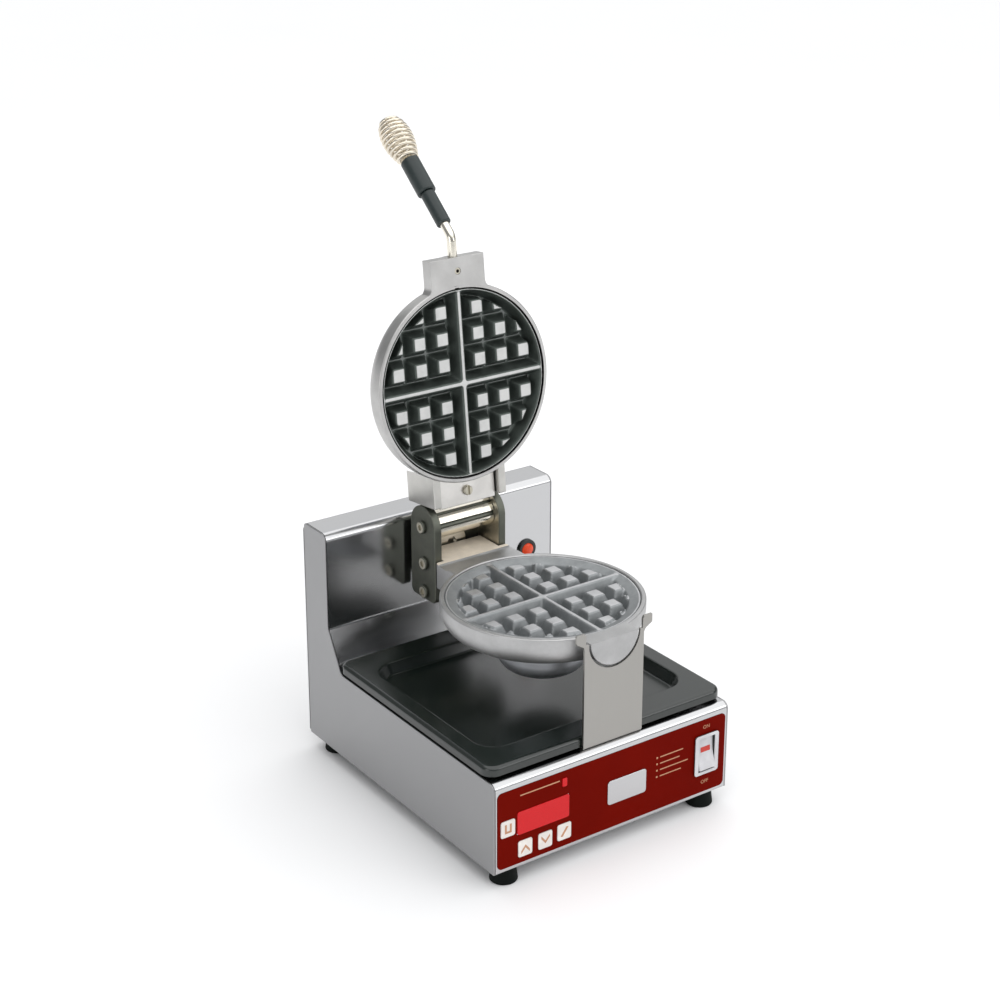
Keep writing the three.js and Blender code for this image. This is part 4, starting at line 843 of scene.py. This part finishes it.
SIDE_LINE = [(FRONT, DECK, 7), (TOWER_FACE - SLOPE_RUN, DECK, 6),
             (TOWER_FACE, DECK + SLOPE_RISE, 6), (TOWER_FACE, TOWER_TOP, 8)]
KEY_SPOTS = [(-118, 58.7), (-99.5, 33.7), (-77.8, 33.5), (-57, 34.7)]
KEY_HOLE = (15.6, 16.6, 2.3)
WINDOW_SPOT = (-80, 59.8)
WINDOW_HOLE = (51, 17.5)
WINDOW_PLATE = (56, 22.5)
INDICATOR_SPOT = (-57, 84)
INDICATOR_HOLE = (5.6, 8.6)
SWITCH_SPOT = (106, 60)
SWITCH_HOLE = (23.6, 39.2)
PILOT_SEAT = (101, TOWER_FACE, 168)
PILOT_NECK = 8.4
TRUNNION = (0, 0, RIM)


def block(left, right, front, rear, low, high):
    return prism("plan", box_line(left, right, front, rear), low, high)


def rod(radius, axis, centre, low, high, sides=64):
    return turned([(0, low), (radius, low), (radius, high), (0, high)], axis, centre, sides)


def key_holes():
    return [middle_box(x, z, *KEY_HOLE) for x, z in KEY_SPOTS]


def chassis_wrap():
    """One folded sheet: bottom flange, front, deck, slope, tower face, tower top and rear lip."""
    flange, lip = 16, 14
    corners = [(FRONT + flange, FOOT), (FRONT, FOOT, 1.5), *SIDE_LINE,
               (PANEL_REAR, TOWER_TOP, 4), (PANEL_REAR, TOWER_TOP - lip)]
    wrap = prism("side", bent_sheet(corners, SHEET), -WRAP_SIDE, WRAP_SIDE)
    front = (FRONT - OVER, FRONT + SHEET + OVER)
    tower = (-OVER, SHEET + OVER)
    holes = [prism("front", middle_box(*WINDOW_SPOT, *WINDOW_HOLE), *front),
             prism("front", middle_box(*INDICATOR_SPOT, *INDICATOR_HOLE), *front),
             prism("front", middle_box(*SWITCH_SPOT, *SWITCH_HOLE), *front),
             rod(PILOT_NECK + SEAM, "y", PILOT_SEAT, *tower),
             rod(BEARING_NECK + SEAM, "y", (0, TOWER_FACE, RIM), *tower)]
    return cut(wrap, *holes, *[prism("front", line, *front) for line in key_holes()])


def side_panel(inner, outer):
    line = rounded([(FRONT, FOOT, 1.2), *SIDE_LINE, (PANEL_REAR, TOWER_TOP, 4), (PANEL_REAR, FOOT, 1.2)])
    return slab("side", line, inner, outer, edge=0.55)


def foot(x, y, top):
    """Flat tread, slightly waisted, with a counterbore for its screw from above."""
    profile = rounded([(0, 0), (13, 0, 1.5), (11, top, 0.6), (2.5, top), (2.5, 7), (0, 7)])
    return turned(profile, "z", (x, y, 0), 72)


piece("housing_wrap", chassis_wrap(), HOUSING, STEEL, "base", "chassis_wrap")
for side, low in (("left", -SIDE), ("right", SIDE - SHEET)):
    piece("side_panel_" + side, side_panel(low, low + SHEET), HOUSING, PANEL_SHADED, "base",
          side + "_side_panel")
piece("panel_rear", slotted_panel(PANEL_SHADED), HOUSING, PANEL_SHADED, "base", "rear_panel")
for side, x in (("left", -FEET_APART / 2), ("right", FEET_APART / 2)):
    for end, y, top in (("front", FRONT + 14, FOOT - SEAM), ("rear", REAR - 20, FOOT + SHEET)):
        corner = f"{end}_{side}"
        piece("rubber_" + corner, foot(x, y, top), HOUSING, RUBBER, "base", "foot_" + corner)


# The control panel


def control_film():
    width, height = WINDOW_PLATE
    holes = [middle_box(*WINDOW_SPOT, width + 2 * SEAM, height + 2 * SEAM, 2),
             middle_box(*INDICATOR_SPOT, *INDICATOR_HOLE, 0.5),
             middle_box(*SWITCH_SPOT, *SWITCH_HOLE, 0.5), *key_holes()]
    return slab("front", box_line(-129, 129, 20, 95, 5), FILM_FACE, FRONT - 0.1, holes, 0.12, 1)


def display_window():
    width, height = WINDOW_HOLE
    back = middle_box(*WINDOW_SPOT, width - 2 * SEAM, height - 2 * SEAM)
    plate = slab("front", middle_box(*WINDOW_SPOT, *WINDOW_PLATE, 2), KEY_FACE, FRONT - SEAM, edge=0.3)
    return join(plate, prism("front", back, FRONT - 0.6, FRONT + 3.4))


def key(x, z):
    """A cap, with a flange behind the film that keeps it in."""
    flange, back = FRONT + 1.8, FRONT + 3
    cap = slab("front", middle_box(x, z, 15, 16, 2), KEY_FACE, back, edge=0.45)
    return join(cap, slab("front", middle_box(x, z, 18, 19, 2), flange, back, edge=0.2))


def switch_bezel():
    opening = middle_box(*SWITCH_SPOT, 19, 34.6, 0.8)
    outside = middle_box(*SWITCH_SPOT, 28, 41, 3)
    inside = middle_box(*SWITCH_SPOT, 23, 38.6, 1)
    face = slab("front", outside, FILM_FACE - 2.3, FILM_FACE - SEAM, [opening], 0.6, 3)
    return join(face, slab("front", inside, FILM_FACE - 1.6, FILM_FACE + 12, [opening], 0.05, 1))


def rocker():
    """Two shallow faces that meet in a dip, with a raised lip at each end."""
    half, width = 16.2, 18.4
    line = rounded([(-6, half, 0.8), (-4.2, 0, 26), (-6, -half, 0.8), (0, -half, 0.5), (3, -2.1, 1),
                    (3, 2.1, 1), (0, half, 0.5)])
    return slab("side", line, -width / 2, width / 2, edge=0.5, steps=3)


REST_TIP = math.radians(-10)
ROCKER_SEAT = (HOUSING @ Matrix.Translation((SWITCH_SPOT[0], FILM_FACE + 4.5, SWITCH_SPOT[1]))
               @ Matrix.Rotation(REST_TIP, 4, "X"))

piece("panel_overlay", control_film(), HOUSING, FILM, "base", "control_overlay")
piece("panel_window", display_window(), HOUSING, WINDOW, "base", "display_window")
indicator = slab("front", middle_box(*INDICATOR_SPOT, 5, 8, 0.8), KEY_FACE, FRONT + 4, edge=0.3)
piece("panel_indicator", indicator, HOUSING, WINDOW, "base", "indicator_lens")
for number, (x, z) in enumerate(KEY_SPOTS, 1):
    cap = f"key_cap_{number}"
    piece(cap, key(x, z), HOUSING, KEYS, cap, f"key_{number}")
# The inner walls of the bezel's opening are painted black as shade, so the slot above the pressed-in top of
# the rocker reads dark.
piece("switch_frame", switch_bezel(), HOUSING, SWITCH, "base", "switch_bezel",
      others=(BLACK,), where=lambda p, n: p.y > FILM_FACE - 1.5 and abs(n.y) < 0.5)
piece("switch_rocker", rocker(), ROCKER_SEAT, SWITCH, "rocker", "rocker_switch")


def marks(name, lines, face, body):
    """Thin printed marks that stand a hair off the face that they are printed on."""
    shape = gathered([prism("front", line, face - 0.06, face + 0.03) for line in lines])
    piece(name, shape, HOUSING, PRINT, body)


def bracket(x, z):
    """Two upright bars with a low one between them."""
    low = z - 4.2
    return [box_line(x - 3.6, x - 1.6, low, z + 4.6), box_line(x + 1.6, x + 3.6, low, z + 4.6),
            box_line(x - 1.7, x + 1.7, low, z - 2.2)]


def chevron(x, z, size, way):
    """An arrow head that points up or down, as a bent bar."""
    low, tip = z - way * size * 0.5, z + way * size * 0.7
    outer = [(x - size, low), (x, tip), (x + size, low)]
    inner = [(px, pz - way * size * 0.62) for px, pz in outer[::-1]]
    return [Vector(p) for p in outer + inner]


def slash(x, z):
    return [Vector((x + right, z + up)) for right, up in ((-4.4, -4), (-2, -4.6), (4.4, 4), (2, 4.6))]


def words(text, x, z, height):
    """Plain capitals as flat outlines turned into a thin solid."""
    curve = bpy.data.curves.new("words", "FONT")
    curve.body = text
    curve.size = height * 1.45
    curve.align_x = "CENTER"
    curve.align_y = "CENTER"
    curve.extrude = 0.04
    curve.resolution_u = 3
    shape = evaluated(bpy.data.objects.new("words", curve))
    lie = Matrix.Translation((x, FILM_FACE - 0.03, z)) @ VIEWS["front"]
    bmesh.ops.transform(shape, verts=shape.verts, matrix=lie)
    return shape


def plain_lines():
    """Four printed lines under each other, each with a dot in front."""
    x, z = 48.5, 60
    lines = [box_line(x + 3, x + reach, z + up, z + up + 1.1)
             for reach, up in ((30, 13), (26, 6.5), (36, 0), (28, -6.5))]
    return lines + [box_line(x - 1.4, x + 0.4, z + up - 0.3, z + up + 1.5) for up in (13, 6.5, 0, -6.5)]


key_marks = [bracket(*KEY_SPOTS[0]), [chevron(*KEY_SPOTS[1], 4.6, 1)], [chevron(*KEY_SPOTS[2], 4.6, -1)],
             [slash(*KEY_SPOTS[3])]]
for number, lines in enumerate(key_marks, 1):
    marks(f"key_mark_{number}", lines, KEY_FACE, f"key_cap_{number}")
plate = slab("front", middle_box(13, 56, 44, 24, 3), FILM_FACE - 0.9, FILM_FACE + 0.2, edge=0.4, steps=3)
piece("blank_plate", plate, HOUSING, STEEL, "base")
marks("printed_lines", plain_lines(), FILM_FACE, "base")
marks("display_rule", [box_line(-105, -62.5, 86.2, 87.4)], FILM_FACE, "base")
stripe = prism("side", [Vector((y, z)) for y, z in ((-4.55, 1), (-5.1, 6), (-4, 6), (-4, 1))], -5.6, 5.6)
piece("switch_stripe", stripe, ROCKER_SEAT, RED_PRINT, "rocker")
for text, z in (("ON", 87.5), ("OFF", 30.5)):
    shape = words(text, SWITCH_SPOT[0], z, 3.6)
    piece("label_" + text.lower(), shape, HOUSING, PRINT, "base")


# The pilot lamp, the tray and the cradle


def pilot_bezel():
    bore, flange, end = 6.9, 10.5, 9
    ring = rounded([(bore, -2.7, 0.5), (flange, -2.7, 0.9), (flange, -SEAM, 0.2), (PILOT_NECK, -SEAM),
                    (PILOT_NECK, end), (bore, end)])
    return turned(ring, "y", PILOT_SEAT, 64)


def pilot_lens():
    dome = arc(0, 7.15, 12.1, -90, -57.5, 12)
    return turned([*dome, Vector((6.5, 9)), Vector((0, 9))], "y", PILOT_SEAT, 64)


def drip_tray():
    """One pressed sheet: skirt, rolled edge, flat rim and recess. Its section starts at the foot of
    the skirt, and each of its points becomes a ring round the tray. It ends at the tower's slope."""
    outside = (-SIDE, SIDE, -150.5, 100, 12)
    recess = (-114, 114, -122, 70, 22)
    skirt, rim, rim_width, floor = 107.1, 116, 18.5, 105.5
    section = bent_sheet([(0, skirt), (0, rim, 4), (rim_width, rim, 3), (rim_width + 6, floor, 3),
                          (50, floor)], 1.2)
    half = len(section) // 2
    rings = []
    for run, z in section[half:] + section[:half]:
        outer = run < 9
        left, right, front, rear, corner = outside if outer else recess
        inset = run if outer else run - rim_width
        line = box_line(left + inset, right - inset, front + inset, rear - inset, max(corner - inset, 2))
        rings.append([Vector((p.x, p.y, z)) for p in line])
    low, high, slope_foot = 90, 130, 94.98
    lean = SLOPE_RUN / SLOPE_RISE
    slope = [Vector((slope_foot + (z - DECK - SEAM) * lean, z)) for z in (low, high)]
    return cut(skin(rings), prism("side", [*slope, Vector((150, high)), Vector((150, low))], -140, 140))


def front_cradle():
    """A bent strip with a round notch for the lower lug and a flared prong on each side of it."""
    face, heel, top = -154, -122, 218
    bend = bent_sheet([(heel, DECK + SEAM), (face, DECK + SEAM, 3), (face, top + OVER)], 2.4)
    right = rounded([(33, 90), (33, 202.5), (34.5, 205.5, 3), (42, 210, 1.5), (42, top, 0.8),
                     (32.9, top, 0.8), (31.4, 215.6), (31.4, RIM)], False)
    notch = arc(0, RIM, 28.5, 0, -180, 40)
    left = [Vector((-p.x, p.y)) for p in right[::-1]]
    front = prism("front", right + notch + left, -160, -118)
    return eased(overlap(prism("side", bend, -45, 45), front), 0.35)


piece("lamp_bezel", pilot_bezel(), HOUSING, BLACK, "base", "pilot_bezel")
piece("lamp_lens", pilot_lens(), HOUSING, LAMP, "base", "pilot_lens")
piece("tray_basin", drip_tray(), HOUSING, TRAY, "tray", "drip_tray", 50)
piece("cradle_strip", front_cradle(), HOUSING, STRIP, "base", "front_cradle")


# The hinge


def ear_line():
    low, front, rear = 162, HINGE_Y - EAR_RADIUS, HINGE_Y + EAR_RADIUS
    return (rounded([(front, HINGE_Z), (front, low, 6), (rear, low, 6), (rear, HINGE_Z)], False)
            + arc(HINGE_Y, HINGE_Z, EAR_RADIUS, 0, 180, 36)[1:-1])


def hinge_yoke():
    """Two thick ears, round about the pin, and the web that joins them at the back."""
    ears = [slab("side", ear_line(), *ear, edge=0.9, steps=3) for ear in EARS]
    web = overlap(block(-EAR_IN - 1, EAR_IN + 1, 105, 111, 178, 252),
                  prism("side", ear_line(), -EAR_OUT, EAR_OUT))
    holes = [rod(PIN + SEAM, "x", (0, *spot), -46, 46) for spot in ((HINGE_Y, HINGE_Z), LUG_BOLT, TIE_BOLT)]
    return cut(join(*ears, web), *holes, rod(SHAFT + SEAM, "y", TRUNNION, 95, 120))


def hexagon(radius, x, y):
    return arc(x, y, radius, 0, 300, 5)


def cross_pin(y, z, middle):
    """A pin through both ears, with a rounded head and a hex socket on each side."""
    head, top, seat, inside = 6.5, -44.3, -EAR_OUT - SEAM, SEAM - EAR_IN
    line = rounded([(0, top), (head, top, 1.2), (head, seat, 0.3), (PIN, seat), (PIN, inside),
                    (middle, inside)], False)
    profile = line + [Vector((p.x, -p.y)) for p in line[::-1]]
    sockets = [prism("side", hexagon(3.1, y, z), *ends) for ends in ((-45, -42.4), (42.4, 45))]
    return cut(turned(profile, "x", (0, y, z), 64), *sockets)


def trunnion_shaft():
    head, top, seat, end = 17, 101.7, 104.7, 142
    profile = rounded([(0, top), (head, top, 1.2), (head, seat, 0.3), (SHAFT, seat), (SHAFT, end, 1.5),
                       (0, end)])
    return cut(turned(profile, "y", TRUNNION), prism("front", hexagon(5.6, 0, RIM), 95, 104))


def trunnion_bearing():
    bore, flange, top, seat, end = SHAFT + SEAM, 26, 111.3, TOWER_FACE - SEAM, 124.5
    return turned(rounded([(bore, top), (flange, top, 1.5), (flange, seat, 0.3), (BEARING_NECK, seat),
                           (BEARING_NECK, end, 0.6), (bore, end)]), "y", TRUNNION)


def shaft_collar():
    bore, outside, top, end = SHAFT + SEAM, 19, 124.8, 133.8
    profile = rounded([(bore, top), (outside, top, 1), (outside, end, 1), (bore, end)])
    return turned(profile, "y", TRUNNION)


piece("yoke_ears", hinge_yoke(), HOUSING, SHADED_YOKE, "base", "hinge_yoke",
      others=(DULL,), where=lambda p, n: abs(p.x) < EAR_IN + 1 and abs(n.x) > 0.9)
# The outer rim of each pin head takes the yoke's painted-shade tone, and the middle round the socket stays
# dull steel.
for name, node, (y, z), middle in (("pin_of_hinge", "hinge_pin", (HINGE_Y, HINGE_Z), PIN),
                                   ("pin_of_lug", "lower_lug_bolt", LUG_BOLT, PIN),
                                   ("pin_of_tie", "yoke_tie_bolt", TIE_BOLT, 7)):
    piece(name, cross_pin(y, z, middle), HOUSING, DULL, "base", node, others=(SHADED_YOKE,),
          where=lambda p, n: abs(p.x) > EAR_OUT and math.hypot(p.y - y, p.z - z) > 4.2)
piece("trunnion_pin", trunnion_shaft(), HOUSING, BRIGHT, "base", "trunnion_shaft")
piece("trunnion_flange", trunnion_bearing(), HOUSING, LOWER_CAST, "base", "trunnion_bearing")
piece("trunnion_ring", shaft_collar(), HOUSING, DULL, "base", "shaft_collar")


# The grid units


def bowl_outside():
    wall, wide, deep = 8, BOWL - BOWL_FLOOR, BOWL_DEPTH - 8
    quarter = [Vector((BOWL_FLOOR + wide * math.cos(a), -wall - deep * math.sin(a)))
               for a in (math.radians(5 * i) for i in range(19))]
    rim = rounded([(0, 0), (BOWL, 0, 1.4), (BOWL, -wall)], False)
    return turned([*rim, *quarter[1:], Vector((0, -BOWL_DEPTH))], sides=128)


def bowl_inside():
    """The cutter for the seat of the plate, the element's room under it and the cable hole."""
    hole, through, room, floor, lip = 30, -31, 80, -25.3, BORE + 1
    profile = [(0, through), (hole, through), (hole, floor), (room, floor), (room, PLATE_SEAT),
               (BORE, PLATE_SEAT), (BORE, -0.9), (lip, 0.1), (lip, OVER), (0, OVER)]
    return turned([Vector(p) for p in profile], sides=128)


def half_round_lug(radius, reach):
    """Half a cylinder under the rim plane, with a rounded end."""
    end = rounded([(0, -reach), (radius, -reach, 1.6), (radius, -BOWL_FLOOR), (0, -BOWL_FLOOR)])
    return overlap(turned(end, "y", sides=128), block(-40, 40, -130, -60, -40, 0))


def rear_lug(reach, low, high):
    half = 31.7
    line = rounded([(-half, BOWL_FLOOR), (half, BOWL_FLOOR), (half, reach, 1.5), (-half, reach, 1.5)])
    return slab("plan", line, low, high, edge=0.8)


def lower_casing():
    """Bowl with a round lug in front and, behind it, a shoulder with a machined pad and a lug."""
    bolt = rod(PIN + SEAM, "x", (0, LUG_BOLT[0] - GRID_Y, LUG_BOLT[1] - RIM), -70, 70)
    shoulder = slab("plan", box_line(-41, 41, BOWL_FLOOR, 115.8, 2.5), -26, 0, edge=1.2, steps=3)
    body = join(bowl_outside(), half_round_lug(26.5, 107), rear_lug(147, -14, 0), shoulder)
    return cut(body, bowl_inside(), bolt, block(-45, 45, 95.5, PAD_FRONT, -1.4, 1))


def upper_casing():
    """The same bowl with a flat tab and boss for the handle's rod in front, and a lug behind."""
    half, fillet = 30, 9
    leave = -math.sqrt(BOWL ** 2 - (half + fillet) ** 2)
    side = [Vector((half, -LUG_REACH)), *arc(half + fillet, leave - fillet, fillet, 180, 90, 10)]
    tab = slab("plan", side + [Vector((-p.x, p.y)) for p in side[::-1]], -13, 0, edge=0.8)
    body = join(bowl_outside(), tab, half_round_lug(17, 119.8), rear_lug(119, -22, -10))
    return cut(body, bowl_inside(),
               rod(ROD + SEAM, "y", (0, -LUG_REACH, -ROD_DEPTH), -OVER, 15.3),
               rod(3.3, "z", (0, SET_SCREW_Y, 0), -ROD_DEPTH, OVER),
               rod(SCREW_SHANK + SEAM, "z", (0, HINGE_Y + LUG_SCREW_Y - GRID_Y, 0), -30, 0))


def grid_plate(shoulder, slope_end, rows_end):
    """Cast plate: a pan with a raised cross and rows of truncated pyramids inside its sloped edge."""
    outer = BORE - SEAM
    lip = outer - 1.3
    pan = rounded([(0, PLATE_UNDER), (outer, PLATE_UNDER), (outer, PLATE_EDGE), (lip, PLATE_EDGE),
                   (*shoulder, 2.5), (slope_end, -VALLEY, 2), (0, -VALLEY)])
    foot_half, top_half, top = 7.5, 2.4, -1.4
    ridge = [(-foot_half, -VALLEY - ROOT), (foot_half, -VALLEY - ROOT), (foot_half, -VALLEY),
             (top_half, top), (-top_half, top), (-foot_half, -VALLEY)]
    ridge = [Vector(p) for p in ridge]
    cross = join(prism("side", ridge, -outer, outer), prism("front", ridge, -outer, outer))
    rows = pyramid_rows(LOWER_GRID)
    relief = [overlap(shape, rod(reach, "z", (0, 0, 0), PLATE_UNDER, PLATE_EDGE, 128))
              for shape, reach in ((cross, lip), (rows, rows_end))]
    return as_cast(gathered([turned(pan, sides=128), *relief]), 1.06, 4)


def terminal_cup():
    outside, inside, top = 42.7, 41.2, -29.1
    return turned(rounded([(0, -CUP_DEPTH), (outside, -CUP_DEPTH, 16), (outside, top, 0.5),
                           (inside, top, 0.5), (inside, SHEET - CUP_DEPTH, 16 - SHEET),
                           (0, SHEET - CUP_DEPTH)]))


piece("lower_bowl", lower_casing(), LOWER, LOWER_CAST, "base", "lower_casing",
      others=(PAD_PAINTED_LIGHT,), where=lambda p, n: p.y > PAD_FRONT and n.z > 0.5)
piece("lower_waffle_plate", grid_plate((78.5, -4.6), 75.5, 77), LOWER, LOWER_GRID, "base",
      "lower_grid", 60)
piece("lower_cup", terminal_cup(), LOWER, CUP, "base", "lower_terminal_cup")
piece("upper_bowl", upper_casing(), UPPER, UPPER_CAST, "lid", "upper_casing",
      others=(LUG_FACE,), where=lambda p, n: p.y > 95 and n.z > 0.8)
piece("upper_waffle_plate", grid_plate((87.3, -2.6), 83, 80.5), UPPER, UPPER_GRID, "lid",
      "upper_grid", 60)
piece("upper_cup", terminal_cup(), UPPER, CUP, "lid", "upper_terminal_cup")


# The lid's arm and handle

BARREL = 14
NECK_HALF = EAR_IN - 0.6


def lid_arm():
    """Barrel round the pin, neck, web behind the rear lug and a cheek on each side of it."""
    under, over, near = -6.5, 3.5, -21.8
    cheeks = [slab("side", box_line(-59, near, -25, 22, 1.5), *ear, edge=0.8) for ear in EARS]
    web = block(-EAR_IN - 1, EAR_IN + 1, -45, near, under, over)
    neck = block(-NECK_HALF, NECK_HALF, near - SEAM, 0, under, 12.8)
    barrel = rod(BARREL, "x", (0, 0, 0), -NECK_HALF, NECK_HALF, 96)
    body = join(*cheeks, web, neck, barrel)
    clear = rod(95, "z", (0, GRID_Y - HINGE_Y, 0), -60, 60, 192)
    for turn, radius in ((-10, 2.6), (-60, 1.5)):
        angle = math.radians(turn) + LID_OPEN
        spot = (0, -BARREL * math.cos(angle), -BARREL * math.sin(angle))
        body = cut(body, rod(radius, "x", spot, -32, 32, 24))
    return cut(body, rod(PIN + SEAM, "x", (0, 0, 0), -40, 40), clear,
               rod(SCREW_SHANK + SEAM, "z", (0, LUG_SCREW_Y, 0), -10, 10))


def barrel_look(place, facing):
    """1 on the polished barrel and its neck, 2 in the grooves, painted dark as shade, 0 on the cast arm."""
    if abs(place.x) > 32.6 or place.y < -22.3:
        return 0
    return 1 if math.hypot(place.y, place.z) > BARREL - SEAM else 2


def handle_rod():
    end = BEND + Vector((0, -math.cos(HANDLE_SLOPE), math.sin(HANDLE_SLOPE))) * 97.2
    corners = [(LUG_END + 15 - HINGE_Y, BEND.z), (BEND.y, BEND.z, 13), (end.y, end.z)]
    return wire([Vector((0, p.x, p.y)) for p in rounded(corners, False, math.radians(4))], ROD)


def sleeve(radius, low, high):
    bore, ease = ROD + SEAM, 1.5
    return turned(rounded([(bore, low), (radius, low, ease), (radius, high, ease), (bore, high)]), sides=72)


def slotted_screw():
    """Cheese-head screw that holds the casing's rear lug, with its slot along the lid."""
    head, end, seat = 4.8, 3.3, -18.8 - SEAM
    profile = rounded([(0, end), (SCREW_SHANK, end), (SCREW_SHANK, seat), (head, seat, 0.2),
                       (head, seat - 3, 1), (0, seat - 3)])
    return cut(turned(profile, "z", (0, LUG_SCREW_Y, 0), 48), block(-1.2, 1.2, -39, -25, -24, -20.4))


def set_screw():
    radius, end = 3.1, -2.8
    profile = rounded([(0, end), (radius, end), (radius, -SEAM, 0.3), (0, -SEAM)])
    return cut(turned(profile, "z", (0, SET_SCREW_Y, 0), 36),
               prism("plan", hexagon(1.8, 0, SET_SCREW_Y), -2.5, 1))


# The barrel's grooves take the dark yoke tone as painted shade, which draws the dark bands across the
# polished barrel.
piece("arm_of_lid", lid_arm(), LID, ARM_CAST, "lid", "lid_arm",
      others=(BRIGHT, SHADED_YOKE), where=barrel_look)
piece("screw_of_lug", slotted_screw(), LID, DULL, "lid", "lug_screw")
piece("screw_of_rod", set_screw(), UPPER, DULL, "lid", "set_screw",
      others=(CORE,), where=lambda p, n: math.hypot(p.x, p.y - SET_SCREW_Y) < 1.9)
piece("handle_rod_bent", handle_rod(), LID, BRIGHT, "lid", "handle_rod")
piece("sleeve_narrow", sleeve(7, 14.3, 51), HANDLE, SLEEVE, "lid", "rod_sleeve")
piece("sleeve_wide", sleeve(9.25, 51.3, 90.2), HANDLE, SLEEVE, "lid", "grip_sleeve")
piece("cool_spring", beehive_spring(NICKEL), HANDLE, NICKEL, "lid", "coil_handle", 60)

# Solids that stay as they are, out of sight inside the housing and the units
for node, look in {"base_plate": PANEL_SHADED, "control_board": BOARD, "transformer": CORE, "relay": BLACK,
                   "terminal_block": CERAMIC, "lower_element": CORE, "upper_element": CORE,
                   "temperature_probe": BRIGHT}.items():
    kept = bpy.data.objects[node].data
    kept.materials.clear()
    kept.materials.append(look)


def cord_inlet():
    """Bush for the cord in the rear panel, with its flange outside."""
    bore, flange, end = 5, 13, -10.7
    profile = rounded([(bore, 4, 0.6), (flange, 4, 1.2), (flange, SEAM, 0.3), (INLET_RADIUS, SEAM),
                       (INLET_RADIUS, end), (bore, end)])
    return turned(profile, "y", (INLET_SPOT[0], REAR, INLET_SPOT[1]), 64)


piece("inlet_bush", cord_inlet(), HOUSING, BLACK, "base", "cord_inlet")


# Studio and camera


def studio():
    backdrop = Finish("paper_floor", (0.93, 0.93, 0.935), 0.9)
    shade = backdrop.noise(backdrop.spot((2, 2, 2)), 1.0, 2.0, 0.5)
    backdrop.set("Base Color", backdrop.mix(shade, (0.945, 0.945, 0.95), (0.96, 0.96, 0.965)))
    reach = 14
    corners = [(-reach, -reach, 0), (reach, -reach, 0), (reach, reach, 0), (-reach, reach, 0)]
    floor = shape_of(corners, [(0, 1, 2, 3)])
    mesh = bpy.data.meshes.new("floor")
    floor.to_mesh(mesh)
    floor.free()
    mesh.materials.append(backdrop.material)
    in_scene("floor", mesh)


def soft_light(name, place, aim, width, height, power):
    lamp = bpy.data.lights.new(name, "AREA")
    lamp.shape = "RECTANGLE"
    lamp.size, lamp.size_y = width, height
    lamp.energy = power
    made = in_scene(name, lamp)
    made.location = place
    made.rotation_euler = (Vector(aim) - Vector(place)).to_track_quat("-Z", "Y").to_euler()


def camera():
    lens = bpy.data.cameras.new("camera")
    lens.lens = 71.37
    lens.sensor_width = 36
    lens.shift_y = -0.1
    lens.clip_end = 60
    made = in_scene("camera", lens)
    made.location = (-0.9838, -1.3990, 0.9734)
    made.rotation_euler = (math.radians(70.71), 0, math.radians(-35.18))
    bpy.context.scene.camera = made


def overhead_light(strength, spread, tilt, turn):
    """A wide soft light over the object, like a large cloth ceiling."""
    lamp = bpy.data.lights.new("overhead", "SUN")
    lamp.energy = strength
    lamp.angle = math.radians(spread)
    made = in_scene("overhead", lamp)
    made.rotation_euler = (math.radians(tilt), 0, math.radians(turn))


def room(colour, strength):
    world = bpy.data.worlds.new("room")
    world.use_nodes = True
    background = world.node_tree.nodes["Background"]
    background.inputs["Color"].default_value = (*colour, 1)
    background.inputs["Strength"].default_value = strength
    bpy.context.scene.world = world


studio()
camera()
overhead_light(2.5, 104, 14, 35)
soft_light("backdrop", (1.4, 2.1, 1.5), (0.1, 0, 0.15), 3.2, 1.6, 10)
soft_light("front_right", (1.55, -2.4, 1.1), (0, 0.05, 0.12), 1.3, 0.8, 8)
soft_light("left", (-2.6, -0.9, 0.8), (0, 0, 0.15), 1.2, 1.0, 9)
room((0.97, 0.985, 1.0), 0.3)
bpy.context.scene.view_settings.view_transform = "Standard"
